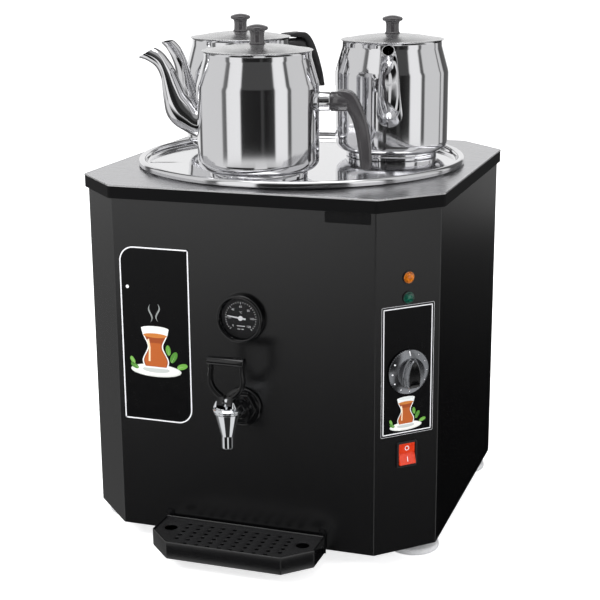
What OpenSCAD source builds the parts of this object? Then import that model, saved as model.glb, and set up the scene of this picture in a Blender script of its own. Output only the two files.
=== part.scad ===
// Countertop hot water urn that keeps teapots warm on a round steam tray.
// Millimetres. The floor is z = 0, the front faces -Y, and the origin lies
// midway between the front of the drip tray and the tip of the cable gland.

/* [Casing] */
// Width across the side panels
body_w = 420; // [404:1:480]
// Depth across the front and back panels
body_d = 420; // [404:1:480]
// Height from the casing's lower edge to the upper face of the top plate
body_h = 405; // [396:1:480]
// Leg of the 45 degree cut at each corner
corner_cut = 57; // [48:1:66]
// Thickness of the painted sheet
sheet = 1; // [0.8:0.1:1.5]
// Outer radius of the bends between panels
bend_r = 3; // [2:0.5:6]

/* [Top] */
// Height of the skirt that turns down round the top
skirt_h = 15; // [10:1:20]
// How far the skirt stands out from the casing
overhang = 4; // [3:0.5:8]
// Thickness of the stainless top plate
top_sheet = 1.2; // [1:0.1:2]
// Diameter of the round mouth over the tank
mouth_d = 330; // [300:1:334]

/* [Tank] */
// Outer diameter of the water tank
tank_d = 344; // [340:1:352]
// Thickness of the tank's sheet
tank_wall = 1; // [0.8:0.1:1.5]
// Height of the tank's floor above the casing's lower edge
tank_rise = 112; // [95:1:118]
// Thickness of the insulating jacket
jacket_t = 14; // [8:1:16]
// Diameter of the heating loop
heater_d = 220; // [160:1:260]

/* [Feet] */
// Height of the casing's lower edge above the floor
foot_h = 18; // [16:1:30]
// Diameter of a foot's flange
foot_d = 60; // [40:1:64]
// Distance from a side panel to the foot's centre
foot_side = 32; // [30:1:60]
// Distance from the front or back panel to the foot's centre
foot_end = 80; // [70:1:100]

/* [Steam tray] */
// Diameter over the rolled rim
tray_d = 392; // [380:1:400]
// Height of the rim above the top plate
tray_h = 9; // [7:0.5:14]
// Thickness of the tray's sheet
tray_sheet = 1; // [0.8:0.1:1.5]

/* [Teapots] */
// Diameter of a teapot's body
pot_d = 138; // [126:1:144]
// Height of a teapot up to its rim
pot_h = 140; // [130:1:160]
// Outer diameter of the neck
pot_neck_d = 121; // [110:1:122]
// Diameter of the foot ring
pot_ring_d = 111; // [90:1:112]
// Height of the foot ring
pot_ring_h = 7; // [4:0.5:10]
// Height where the shoulder starts to turn in
pot_shoulder = 95; // [90:1:100]
// Thickness of the teapot's sheet
pot_wall = 1; // [0.8:0.1:1.2]
// Distance of the teapots from the middle of the tray
pot_circle = 116; // [112:1:118]
// How far the spout's lip reaches from the teapot's axis
spout_reach = 132; // [124:1:136]
// How far the grip's outer face reaches from the teapot's axis
grip_reach = 128; // [122:1:132]
// Width of the grip
grip_w = 20; // [14:1:26]
// Rise of the lid's dome
lid_rise = 6.5; // [3:0.5:12]
// Diameter of the lid knob's cap
lid_knob_d = 24.8; // [20:0.1:30]

/* [Tap] */
// Height of the tap's shank above the casing's lower edge
tap_rise = 161; // [150:1:220]
// Distance from the front panel to the tap's upright axis
tap_reach = 48; // [42:1:60]
// How far the outlet lies below the shank
tap_drop = 32; // [26:1:38]
// Outer diameter of the shank
shank_d = 16; // [14:0.5:18]
// Angle through which the lever opens the tap
lever_tilt = 60; // [40:1:65]
// Lift of the plunger at full tilt
lever_lift = 4; // [3:0.5:5]
// Half width of the lever's stirrup
stirrup_w = 21; // [18:0.5:24]
// Height of the stirrup above its pin
stirrup_h = 50; // [44:1:56]

/* [Gauge] */
// Height of the gauge above the casing's lower edge
gauge_rise = 264; // [250:1:320]
// Diameter of the bezel
gauge_d = 55; // [50:1:64]
// How far the bezel stands out
gauge_t = 9; // [8:0.5:12]
// Length of the probe inside the tank
probe_len = 45; // [20:1:60]

/* [Control panel] */
// Width of the panel plate
panel_w = 66; // [58:1:72]
// Height of the panel plate
panel_h = 148; // [140:1:160]
// Height of the plate's middle above the casing's lower edge
panel_rise = 212; // [205:1:230]
// Diameter of the thermostat knob
knob_d = 50; // [44:1:56]
// Height of the knob's skirt
knob_t = 7; // [5:0.5:10]
// Diameter of a pilot lamp's lens
lamp_d = 13.5; // [12:0.5:16]
// Distance between the two pilot lamps
lamp_gap = 22.5; // [20:0.5:30]
// Width of the rocker switch's bezel
rocker_w = 26; // [24:0.5:30]
// Height of the rocker switch's bezel
rocker_h = 30; // [28:0.5:34]
// Tilt of the rocker to each side
rocker_tilt = 8; // [5:0.5:9]

/* [Plates] */
// Width of the tall front plate
plate_w = 85; // [70:1:100]
// Height of the tall front plate
plate_h = 205; // [180:1:230]
// Distance of the front plate's middle from the middle of the front
plate_off = 104; // [90:1:104]
// Height of the front plate's middle above the casing's lower edge
plate_rise = 234; // [220:1:250]
// Thickness of the printed plates
plate_t = 0.4; // [0.3:0.1:0.8]

/* [Drip tray] */
// Width of the drip tray
drip_w = 194; // [160:1:240]
// How far the tray reaches from the front panel
drip_reach = 72; // [66:1:90]
// Height of the tray
drip_h = 21; // [18:1:26]
// Height of the tray's rim above the casing's lower edge
drip_rise = 18; // [16:1:40]
// Leg of the cut at the tray's front corners
drip_cut = 29; // [15:1:34]
// Thickness of the tray's sheet
drip_sheet = 1.2; // [1:0.1:1.5]

/* [Hidden] */
$fn = 96;

// Clearances
rest = 0.3;        // between pieces that lift apart or slide past
run = 0.05;        // radial, between a shaft and its bore
slip = 0.2;        // radial, between a fixed piece and the hole it passes
eps = 0.01;        // overshoot of cuts

// Levels
body_z = foot_h;
top_z = foot_h + body_h;
shelf_z = top_z - top_sheet - sheet;
tank_z = body_z + tank_rise;
base_z = body_z + 2 * sheet;
pot_z = top_z + rest + tray_sheet + rest;

// Plan
face_y = body_d / 2;
chamfer_r = (body_w + body_d - 2 * corner_cut) / 2 / sqrt(2);
flange_w = 14;
front_reach = drip_reach;
gland_out = 17;
body_y = (front_reach - gland_out) / 2;

// Tank
tank_r = tank_d / 2;
tank_in = tank_r - tank_wall;
tank_corner = 12;
mouth_r = mouth_d / 2;
collar_h = 9;
heater_r = heater_d / 2;
heater_tube = 4.25;
heater_lift = 22;
heater_bend = 12;
heater_gap = 30;   // half the angle between the loop's ends
pin_drop = 10;     // length of the terminal pins below the element's ends
cutout = [13, 11]; // radius and height of the safety cut-out under the tank's floor
block = [44, 22, 8];       // foot of the terminal block
pole_gap = 14;     // between the terminals
leg_w = 24;
leg_t = 2;
bulb_r = 3.2;
bulb_len = 80;
bulb_rise = 45;    // above the tank's floor
capillary_r = 1.2;
stat = [38, 38, 24];
stat_in = 26;      // from the chamfer's face to the middle of the thermostat

// Feet and cable gland
foot_bolt_r = 4;
foot_post_r = foot_d / 4 - 2;
bolt_head_z = 5;   // level of the bolt's end inside the foot
gland_x = 120;     // to the left when seen from the front
gland_rise = 45;
gland_thread = 8;
gland_bore = 4.5;

// Teapots: bearing of each from the tray's middle, and of its spout
pot_bearing = [-96, 149, 36];
pot_spout = [-167, -126, -77];
pot_r = pot_d / 2;
neck_r = pot_neck_d / 2;
neck_rise = pot_h - 10;
pot_corner = 13;
ferrule_z = 84;
ferrule_r = 10.6;
ferrule_len = 13;
// The second teapot is of another make: a shorter spout, and a shorter grip set on its neck
spout_in = [0, 21, 0];     // how much nearer the axis the spout ends
ferrule_up = [0, 40, 0];   // how much higher the ferrule sits
ferrule_in = [0, 16, 0];   // how much nearer the axis it ends
grip_up = [0, 45, 0];
grip_in = [0, 5, 0];
grip_low = [9, 72, 9];     // level of the grip's lower end
thumb_len = [14, 32, 14];  // length of the flat thumb rest
lid_sheet = 0.8;
lid_r = neck_r + 2;
knob_stem_r = 8.4;
strainer_r = 2;
spout_root = 60;
spout_steps = 14;
spout_sides = 18;
spout_wall = 1;

// Plates
plate_r = 18;
badge = [51, 12];

// Tap
shank_r = shank_d / 2;
shank_bore = shank_r - 3;
chamber_r = 7;
outlet_r = 6.9;
outlet_bore = 4.4;
cone_r = 14.2;
bead_r = 3;
seat_z = -7;
tap_top = 15;
bonnet_t = 1.2;
stem_r = 2.5;
pin_r = 1.5;
cam_r = 5;
cheek_in = 2.5;
cheek_out = 8.9;
pin_z = tap_top + bonnet_t + rest + cam_r;
gasket_r = 14;
gasket_t = 1.5;
nut_h = 6;

// Gauge
gauge_bore = gauge_d / 2 - 4.5;
probe_r = 4;
spindle_r = 0.5;

// Control panel
knob_rise = panel_rise - 1;
lamp_rise = panel_rise + panel_h / 2 + lamp_gap / 2 + 9;
rocker_rise = panel_rise - panel_h / 2 - rocker_h / 2 - 8;
knob_shaft_r = 3;
switch_box = [rocker_w - 4, rocker_h - 3, 22];
button = [switch_box[0] - 4, switch_box[1] - 4];
rocker_axis = -4;
trunnion_r = 1.2;

// Drip tray
drip_z = body_z + drip_rise;
drip_floor = drip_z - drip_h;
grid_t = 1.2;
grid_z = drip_z - 2 - grid_t;
bracket_t = 1.2;
screw_head = [3.2, 1.5];   // radius and height of the domed screw heads
drip_back = bracket_t + screw_head[1] + rest;
screw_x = drip_w / 2 - 4;
hole_r = 2.25;
hole_pitch = 13.7;
hole_row = 9.8;
hole_first = 15.9;         // from the panel to the first row of holes
corner_clear = 14;         // no hole this near the cut corners, measured along the panel
finger_r = 7.5;
finger_y = 30;             // from the panel to the finger holes

// Small helpers for outlines -------------------------------------------------

// Points on an arc about c, from angle a0 to a1, in n steps
function arc(c, r, a0, a1, n = 8) =
  [for (i = [0:n]) c + r * [cos(a0 + (a1 - a0) * i / n), sin(a0 + (a1 - a0) * i / n)]];

// The arc of radius r that rounds corner b of the path a, b, c, which turns left
function corner(a, b, c, r, n) =
  let (u = (a - b) / norm(a - b), v = (c - b) / norm(c - b),
       half = acos(u * v) / 2, mid = (u + v) / norm(u + v), hub = b + mid * r / sin(half),
       first = b + u * r / tan(half) - hub, a0 = atan2(first[1], first[0]))
  arc(hub, r, a0, a0 + 180 - 2 * half, n);

// A closed anticlockwise outline with every corner rounded
function rounded(p, r, n = 4) =
  [for (i = [0:len(p) - 1]) each corner(p[(i + len(p) - 1) % len(p)], p[i], p[(i + 1) % len(p)], r, n)];

function rect(w, h) = [[-w / 2, -h / 2], [w / 2, -h / 2], [w / 2, h / 2], [-w / 2, h / 2]];

function reversed(p) = [for (i = [len(p) - 1:-1:0]) p[i]];

function mirrored(p) = [for (q = reversed(p)) [-q[0], q[1]]];

// Point at t on the cubic curve with control points p, its direction, and a run of its points
function cubic(p, t) =
  pow(1 - t, 3) * p[0] + 3 * t * pow(1 - t, 2) * p[1] + 3 * t * t * (1 - t) * p[2] + pow(t, 3) * p[3];
function heading(p, t) = let (d = cubic(p, t + 0.001) - cubic(p, t - 0.001)) atan2(d[1], d[0]);
function curve(p, n = 10) = [for (i = [0:n]) cubic(p, i / n)];

// Outline of a sheet of thickness t whose lower or outer face follows a path
function strip(p, t) =
  let (last = len(p) - 1,
       side = [for (i = [0:last]) let (d = p[min(i + 1, last)] - p[max(i - 1, 0)]) [-d[1], d[0]] / norm(d)])
  concat(p, [for (i = [last:-1:0]) p[i] + t * side[i]]);

// Closed skin over rings of points, all with m points, joined end to start when the tube is hollow
module skin(rings, m, closed) {
  n = len(rings);
  polyhedron(
    points = [for (ring = rings) each ring],
    faces = concat(
      [for (i = [0:n - (closed ? 1 : 2)]) for (j = [0:m - 1])
        [i * m + j, i * m + (j + 1) % m, ((i + 1) % n) * m + (j + 1) % m, ((i + 1) % n) * m + j]],
      closed ? [] : [[for (j = [m - 1:-1:0]) j], [for (j = [0:m - 1]) (n - 1) * m + j]]));
}

module ring(r_out, r_in, h) {
  difference() {
    cylinder(r = r_out, h = h);
    translate([0, 0, -eps]) cylinder(r = r_in, h = h + 2 * eps);
  }
}

module hex_nut(across, h, bore) {
  difference() {
    cylinder(r = across / sqrt(3), h = h, $fn = 6);
    translate([0, 0, -eps]) cylinder(r = bore, h = h + 2 * eps);
  }
}

// Places ---------------------------------------------------------------------

module at_body(z = 0) translate([0, body_y, z]) children();

// On the front panel: x to the right, y up, z outwards
module on_front(x, rise) at_body() translate([x, -face_y, body_z + rise]) rotate([90, 0, 0]) children();

// On the back panel, seen from behind
module on_back(x, rise) at_body() rotate([0, 0, 180]) translate([x, -face_y, body_z + rise])
  rotate([90, 0, 0]) children();

// On the right front chamfer: x along it, y up, z outwards
module on_chamfer(rise) at_body() rotate([0, 0, 45]) translate([0, -chamfer_r, body_z + rise])
  rotate([90, 0, 0]) children();

module at_tap() at_body() translate([0, -face_y - tap_reach, body_z + tap_rise]) children();

module at_feet() at_body() for (sx = [-1, 1]) for (sy = [-1, 1])
  translate([sx * (body_w / 2 - foot_side), sy * (body_d / 2 - foot_end), 0]) children();

// At teapot i: its spout points along +X, its handle along -X
module at_pot(i) at_body(pot_z) rotate([0, 0, pot_bearing[i]]) translate([pot_circle, 0, 0])
  rotate([0, 0, pot_spout[i] - pot_bearing[i]]) children();

// Casing -----------------------------------------------------------------------

// Octagonal plan of the casing, grown outwards by g
module casing_plan(g = 0) {
  w = body_w / 2 + g;
  d = body_d / 2 + g;
  c = corner_cut + g * (2 - sqrt(2));
  polygon(rounded([[w - c, -d], [w, c - d], [w, d - c], [w - c, d],
                   [c - w, d], [-w, d - c], [-w, c - d], [c - w, -d]], max(bend_r + g, 1)));
}

module frame_of(outer, inner, h) {
  difference() {
    linear_extrude(h) casing_plan(outer);
    translate([0, 0, -eps]) linear_extrude(h + 2 * eps) casing_plan(inner);
  }
}

module panel_holes() {
  depth = 3 * sheet;
  on_front(0, tap_rise) translate([0, 0, -depth]) cylinder(r = shank_r + slip, h = 2 * depth);
  on_front(0, gauge_rise) translate([0, 0, -depth]) cylinder(r = probe_r + slip, h = 2 * depth);
  on_chamfer(knob_rise) translate([0, 0, -depth]) cylinder(r = knob_shaft_r + 2, h = 2 * depth);
  for (s = [-1, 1]) on_chamfer(lamp_rise + s * lamp_gap / 2)
    translate([0, 0, -depth]) cylinder(r = lamp_d / 2 - 1, h = 2 * depth);
  on_chamfer(rocker_rise) translate([0, 0, -depth]) linear_extrude(2 * depth)
    polygon(rect(switch_box[0] + 2 * slip, switch_box[1] + 2 * slip));
  on_back(gland_x, gland_rise) translate([0, 0, -depth]) cylinder(r = gland_thread + slip, h = 2 * depth);
}

module body_casing() color("#1b1b1d") difference() {
  at_body(body_z) {
    frame_of(0, -sheet, shelf_z - body_z);
    frame_of(-sheet / 2, -flange_w, sheet);
  }
  panel_holes();
}

module top_frame() color("#202022") at_body() {
  translate([0, 0, top_z - skirt_h]) frame_of(overhang, overhang - sheet, skirt_h - top_sheet);
  translate([0, 0, shelf_z]) frame_of(overhang - sheet / 2, -flange_w, sheet);
}

module top_plate() color("#b9babb") at_body() difference() {
  union() {
    translate([0, 0, top_z - top_sheet]) linear_extrude(top_sheet) casing_plan(overhang);
    translate([0, 0, top_z - collar_h]) cylinder(r = mouth_r + top_sheet, h = collar_h - top_sheet / 2);
  }
  translate([0, 0, top_z - collar_h - 1]) cylinder(r = mouth_r, h = collar_h + 2);
}

module base_plate() color("#9a9c9e") difference() {
  at_body(body_z + sheet) linear_extrude(sheet) casing_plan(-sheet - rest);
  at_feet() translate([0, 0, body_z - 1]) cylinder(r = foot_bolt_r + slip, h = 6 + 2 * sheet);
  at_body(body_z) for (i = [-3:3]) translate([i * 16, 0, 0])
    linear_extrude(5 * sheet) polygon(rounded(rect(5, 70), 2.4));
}

module feet() color("#d4d5d6") at_feet() difference() {
  rotate_extrude() polygon(concat([[0, 0], [foot_d / 2 - 1.5, 0]],
    arc([foot_d / 2 - 2, 2], 2, -75, 0, 4), arc([foot_d / 2 - 4, 3.5], 4, 0, 70, 5),
    [[foot_post_r + 2, foot_h * 0.55], [foot_post_r, foot_h * 0.75],
     [foot_post_r, foot_h + sheet - eps], [0, foot_h + sheet - eps]]));
  translate([0, 0, bolt_head_z]) cylinder(r = foot_bolt_r + run, h = foot_h);
}

module foot_bolts() color("#a8aaac") at_feet() {
  translate([0, 0, bolt_head_z + eps]) cylinder(r = foot_bolt_r, h = base_z + 4);
  translate([0, 0, base_z + eps]) hex_nut(13, 6, foot_bolt_r - eps);
}

// Tank and its fittings --------------------------------------------------------

// Profile of the tank's outer face, or of its inner face when g is the wall
function tank_profile(g) = concat([[0, tank_z + g]],
  arc([tank_r - tank_corner, tank_z + tank_corner], tank_corner - g, -90, 0),
  [[tank_r - g, shelf_z + sheet - tank_wall]]);

module water_tank() color("#c2c4c6") difference() {
  at_body() {
    rotate_extrude() polygon(concat(tank_profile(0), reversed(tank_profile(tank_wall))));
    translate([0, 0, shelf_z + sheet - tank_wall]) ring(tank_r + 8, tank_in, tank_wall);
  }
  on_front(0, tap_rise) translate([0, 0, -face_y]) cylinder(r = shank_r + slip, h = face_y);
  on_front(0, gauge_rise) translate([0, 0, -face_y]) cylinder(r = probe_r + slip, h = face_y);
  at_body(tank_z - 1) for (s = [-1, 1]) heater_foot(s) cylinder(r = heater_tube + slip, h = 4);
  at_bulb() rotate([0, -90, 0]) translate([0, 0, -tank_r - 2])
    cylinder(r = bulb_r + slip, h = 2 * tank_corner);
}

module tank_jacket() color("#d9cfa0") difference() {
  at_body(tank_z + tank_corner)
    ring(tank_r + slip + jacket_t, tank_r + slip, shelf_z - tank_z - tank_corner - slip);
  on_front(0, tap_rise) translate([0, 0, -face_y]) cylinder(r = shank_r + 2, h = face_y);
  on_front(0, gauge_rise) translate([0, 0, -face_y]) cylinder(r = probe_r + 2, h = face_y);
  at_bulb() rotate([0, 90, 0]) translate([0, 0, tank_r - 5]) cylinder(r = 12, h = jacket_t + 10);
}

// Four angle brackets that carry the tank's floor on the base plate
module tank_legs() color("#8f9193") at_body() for (a = [45:90:315])
  rotate([0, 0, a]) translate([tank_r - tank_corner - 14, -leg_w / 2, 0]) {
    translate([-leg_t / 2, 0, base_z + eps]) cube([leg_t, leg_w, tank_z - base_z - 2 * eps]);
    for (z = [base_z + eps, tank_z - leg_t - eps])
      translate([-leg_w / 2, 0, z]) cube([leg_w / 2, leg_w, leg_t]);
  }

// Place of the end of the heating loop, s is its side
module heater_foot(s) rotate([0, 0, s * heater_gap]) translate([heater_r, -s * heater_bend, 0]) children();

module heating_element() color("#8c8e92") at_body(tank_z + tank_wall) {
  translate([0, 0, heater_lift]) rotate([0, 0, heater_gap]) rotate_extrude(angle = 360 - 2 * heater_gap)
    translate([heater_r, 0]) circle(r = heater_tube, $fn = 48);
  for (s = [-1, 1]) rotate([0, 0, s * heater_gap]) translate([heater_r, 0, heater_lift - heater_bend])
    rotate([0, 0, -s * 90]) elbow(heater_bend, heater_tube + slip);
  for (s = [-1, 1]) heater_foot(s) {
    translate([0, 0, -24]) cylinder(r = heater_tube, h = 24 + heater_lift - heater_bend);
    translate([0, 0, -24 - pin_drop]) cylinder(r = 1.5, h = pin_drop + eps);
  }
}

// Bend from upwards at +X to level at the top, a little longer than a quarter so that the tubes enter it
module elbow(r, tube) rotate([90, 0, 0]) rotate([0, 0, -2]) rotate_extrude(angle = 94)
  translate([r, 0]) circle(r = tube, $fn = 48);

module element_nuts() color("#c9a24a") at_body() for (s = [-1, 1]) heater_foot(s) {
  translate([0, 0, tank_z + tank_wall + eps]) hex_nut(17, 4, heater_tube + run);
  translate([0, 0, tank_z - 6 - eps]) hex_nut(17, 6, heater_tube + run);
}

// Thermostat behind the chamfer, with its bulb in the tank
module at_bulb() at_body(tank_z + bulb_rise) rotate([0, 0, -45]) children();

module thermostat() color("#6d6f72") on_chamfer(knob_rise) difference() {
  union() {
    translate([-stat[0] / 2, -stat[1] / 2, -stat_in - stat[2] / 2]) cube(stat);
    for (s = [-1, 1]) translate([s * 14, 0, -stat_in + stat[2] / 2 - eps])
      cylinder(r = 3, h = stat_in - stat[2] / 2 - sheet);
    translate([0, 0, -stat_in + stat[2] / 2 - eps]) cylinder(r = knob_shaft_r + 1.8, h = 4);
  }
  translate([0, 0, -stat_in - stat[2] / 2 + 4]) cylinder(r = knob_shaft_r + run, h = stat_in + stat[2]);
}

module thermostat_bulb() color("#b87333") {
  turn = 10;
  up_x = chamfer_r - stat_in;
  up_z = body_z + knob_rise - stat[1] / 2 - tank_z - bulb_rise - eps;
  at_bulb() {
    translate([tank_r - bulb_len - 4, 0, 0]) rotate([0, 90, 0]) cylinder(r = bulb_r, h = bulb_len);
    translate([tank_r + 0.5, 0, 0]) rotate([0, 90, 0]) hex_nut(14, 5, capillary_r - eps);
    translate([tank_r - 5, 0, 0]) rotate([0, 90, 0]) cylinder(r = capillary_r, h = up_x - turn - tank_r + 5);
    translate([up_x - turn, 0, turn]) rotate([0, 90, 0]) elbow(turn, capillary_r + 0.1);
    translate([up_x, 0, turn]) cylinder(r = capillary_r, h = up_z - turn);
  }
}

module safety_cutout() color("#3c3c3e") at_body(tank_z) translate([-heater_r / 2, 0, -cutout[1]]) {
  cylinder(r = cutout[0], h = cutout[1] - rest);
  for (s = [-1, 1]) translate([s * 6 - 3, -0.4, -8]) cube([6, 0.8, 8 + eps]);
}

// Terminals for the supply, between the gland and the foot of the tank's leg
block_y = (tank_r - tank_corner + leg_w / 2) / sqrt(2) + block[1];

module terminal_block() color("#e8e4d8") at_body(base_z) translate([-gland_x, block_y, 0]) difference() {
  union() {
    translate([-block[0] / 2, -block[1] / 2, rest]) cube(block);
    for (i = [-1:1]) translate([i * pole_gap - 5, -9, block[2]]) cube([10, 18, 12]);
  }
  for (i = [-1:1]) translate([i * pole_gap, 0, block[2] + 4]) cylinder(r = 2.2, h = 20);
}

module cable_gland() color("#2a2a2c") on_back(gland_x, gland_rise) {
  difference() {
    union() {
      translate([0, 0, eps]) cylinder(r = 11, h = 5, $fn = 6);
      translate([0, 0, -12]) cylinder(r = gland_thread, h = 14);
      rotate_extrude()
        polygon(concat([[0, 4], [9.5, 4]], arc([6.5, gland_out - 3], 3, 0, 90), [[0, gland_out]]));
    }
    translate([0, 0, -13]) cylinder(r = gland_bore, h = gland_out + 20);
  }
  translate([0, 0, -5 - sheet]) hex_nut(22, 5, gland_thread + run);
}

// Gauge --------------------------------------------------------------------------

module gauge_case() color("#161617") on_front(0, gauge_rise) {
  reach = face_y - tank_in + probe_len;
  difference() {
    union() {
      rotate_extrude() polygon(concat([[0, eps], [gauge_d / 2, eps]],
        arc([gauge_d / 2 - 2.5, gauge_t - 2.5], 2.5, 0, 90, 5),
        [[gauge_bore + 1, gauge_t], [gauge_bore, gauge_t - 1.2], [gauge_bore, 2], [0, 2]]));
      translate([0, 0, -reach]) cylinder(r = probe_r, h = reach + 1);
    }
    translate([0, 0, 1.2]) cylinder(r = spindle_r + run, h = 3, $fn = 24);
  }
}

module gauge_dial() color("#2b2b2e") on_front(0, gauge_rise) translate([0, 0, 2 + eps])
  ring(gauge_bore - slip, spindle_r + run, 0.5);

module gauge_glass() color("#dfe6ea", 0.35) on_front(0, gauge_rise) translate([0, 0, gauge_t - 3.2])
  cylinder(r = gauge_bore - run, h = 1.5);

// The needle points left at rest, a little above level
needle_rest = 173;

module gauge_pointer() color("#f0f0f0") on_front(0, gauge_rise) rotate([0, 0, needle_rest]) {
  translate([0, 0, 3.2]) linear_extrude(0.5)
    polygon([[-6, -1.1], [gauge_bore - 7, -0.3], [gauge_bore - 7, 0.3], [-6, 1.1]]);
  translate([0, 0, 3.1]) cylinder(r = 2.2, h = 1, $fn = 48);
  translate([0, 0, 1.5]) cylinder(r = spindle_r, h = 2, $fn = 24);
}

// Plates ---------------------------------------------------------------------------

module front_plate() color("#1c1c1e") on_front(-plate_off, plate_rise) linear_extrude(plate_t) {
  w = plate_w / 2;
  h = plate_h / 2;
  polygon(concat([[-w, -h]], corner([0, -h], [w, -h], [w, 0], plate_r, 8),
                 [[w, h]], corner([0, h], [-w, h], [-w, 0], plate_r, 8)));
}

module panel_plate() color("#1c1c1e") on_chamfer(panel_rise) difference() {
  linear_extrude(plate_t) polygon(rounded(rect(panel_w, panel_h), 1.5));
  translate([0, knob_rise - panel_rise, -1]) cylinder(r = knob_shaft_r + 2, h = 3);
}

module badge_plate() color("#232325")
  on_front(body_w / 2 - corner_cut - badge[0] / 2 - 5.5, body_h - skirt_h - badge[1] / 2 - 1)
    linear_extrude(plate_t) polygon(rounded(rect(badge[0], badge[1]), 1.5));

// Tap --------------------------------------------------------------------------------

// Turned profile of the body, from the outlet up to the rim
function tap_profile() = concat(
  [[0, -tap_drop], [outlet_r - 1, -tap_drop], [outlet_r, 1 - tap_drop],
   [outlet_r, 14 - tap_drop], [cone_r, tap_top - 7]],
  arc([cone_r - 1.5, tap_top - 3.5], bead_r, -40, 40, 6), [[cone_r - 0.7, tap_top], [0, tap_top]]);

tank_seat = sqrt(pow(tank_in - 0.1, 2) - pow(gasket_r, 2));
shank_len = tap_reach + face_y - tank_seat + gasket_t + nut_h + 3;

module tap_body() color("#cfd2d6") at_tap() difference() {
  union() {
    rotate_extrude() polygon(tap_profile());
    rotate([-90, 0, 0]) cylinder(r = shank_r, h = shank_len);
  }
  rotate([-90, 0, 0]) cylinder(r = shank_bore, h = shank_len + 1);
  translate([0, 0, seat_z]) cylinder(r = chamber_r, h = tap_top - seat_z);
  translate([0, 0, -tap_drop - 1]) cylinder(r = outlet_bore, h = tap_drop);
  translate([0, 0, tap_top - 4]) cylinder(r = chamber_r + 1, h = 5);
}

module tap_rosette() color("#151516") on_front(0, tap_rise) difference() {
  union() {
    rotate_extrude() polygon([[0, gasket_t + eps], [22, gasket_t + eps], [22.5, gasket_t + 2],
                              [20, gasket_t + 4], [0, gasket_t + 4.5]]);
    translate([0, 0, gasket_t + 2]) cylinder(r = 19.5, h = 9, $fn = 6);
  }
  cylinder(r = shank_r + run, h = 20);
}

module tap_gaskets() color("#6b2f24") {
  on_front(0, tap_rise) translate([0, 0, eps]) ring(gasket_r + 4, shank_r + slip, gasket_t - eps);
  at_body(body_z + tap_rise) translate([0, -tank_seat + eps, 0]) rotate([-90, 0, 0])
    ring(gasket_r, shank_r + slip, gasket_t);
}

module tap_lock_nut() color("#c8a855") at_body(body_z + tap_rise)
  translate([0, -tank_seat + gasket_t + 2 * eps, 0]) rotate([-90, 0, 0]) hex_nut(24, nut_h, shank_r + run);

// Cap screwed into the body: a flat top for the lever's cams between two shoulders
module tap_bonnet() color("#cfd2d6") at_tap() difference() {
  union() {
    translate([0, 0, tap_top - 3]) cylinder(r = chamber_r + 1 - run, h = 4);
    rotate_extrude() polygon([[0, tap_top + eps], [12.8, tap_top + eps], [13.4, tap_top + 1],
                              [9.8, tap_top + 8], [0, tap_top + 8]]);
  }
  translate([0, 0, tap_top - 5]) cylinder(r = stem_r + run, h = 20);
  translate([-cheek_out - rest, -20, tap_top + bonnet_t]) cube([2 * (cheek_out + rest), 40, 20]);
}

module tap_stem() color("#b4b7ba") at_tap() difference() {
  union() {
    translate([0, 0, seat_z + 3]) cylinder(r = stem_r, h = tap_top + bonnet_t - seat_z - 2);
    intersection() {
      translate([rest - cheek_in, -4, tap_top + bonnet_t + rest]) cube([2 * (cheek_in - rest), 8, cam_r + 4]);
      translate([-5, 0, pin_z]) rotate([0, 90, 0]) union() {
        cylinder(r = 4, h = 10);
        translate([0, -4, 0]) cube([cam_r + 4, 8, 10]);
      }
    }
  }
  translate([-5, 0, pin_z]) rotate([0, 90, 0]) cylinder(r = pin_r + run, h = 10, $fn = 48);
}

module tap_seat_cup() color("#e9e6e0") at_tap() difference() {
  rotate_extrude() polygon(concat([[0, seat_z + eps], [4, seat_z + eps]],
    arc([4, seat_z + 3.5], 2.6, -60, 0, 5), [[6.6, 0], [5.5, 1], [0, 1]]));
  translate([0, 0, seat_z + 3 - eps]) cylinder(r = stem_r + eps, h = 20);
}

spring_low = 1 + rest;
spring_high = tap_top - 3 - rest;
spring_turns = 4;
spring_wire = 0.45;
spring_r = 4.4;

module tap_spring() color("#8f949a") at_tap() {
  steps = 14 * spring_turns;
  rise = spring_high - spring_low - 2 * spring_wire;
  skin([for (i = [0:steps]) let (a = 360 * spring_turns * i / steps)
    [for (j = [0:5]) let (q = spring_r + spring_wire * cos(60 * j))
      [q * cos(a), q * sin(a),
       spring_low + spring_wire * (1 + sin(60 * j)) + rise * i / steps]]], 6, false);
}

// A cam whose reach grows evenly with the tilt, so it lifts the pin in step with the lever:
// the curve with support distance cam_r + pitch * tilt
cam_pitch = lever_lift / (lever_tilt * PI / 180);
function cam_point(a) =
  (cam_r + cam_pitch * a * PI / 180) * [-sin(a), -cos(a)] + cam_pitch * [-cos(a), sin(a)];
function cam_profile() = concat([for (i = [0:10]) cam_point(lever_tilt * i / 10)],
  [[-4, 6.5], [4, 6.5], [5.5, 2], [5.5, -cam_r]]);

// Outer and inner edge of one arm of the stirrup, above the pin
arm_outer = [[cheek_out - 0.5, 6], [stirrup_w + 3, 14], [stirrup_w, 24], [stirrup_w - 0.5, stirrup_h - 6]];
arm_inner = [[3, 8.5], [stirrup_w - 3.5, 17], [stirrup_w - 5.5, 26], [stirrup_w - 6.5, stirrup_h - 9]];
bar_h = 10;

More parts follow.
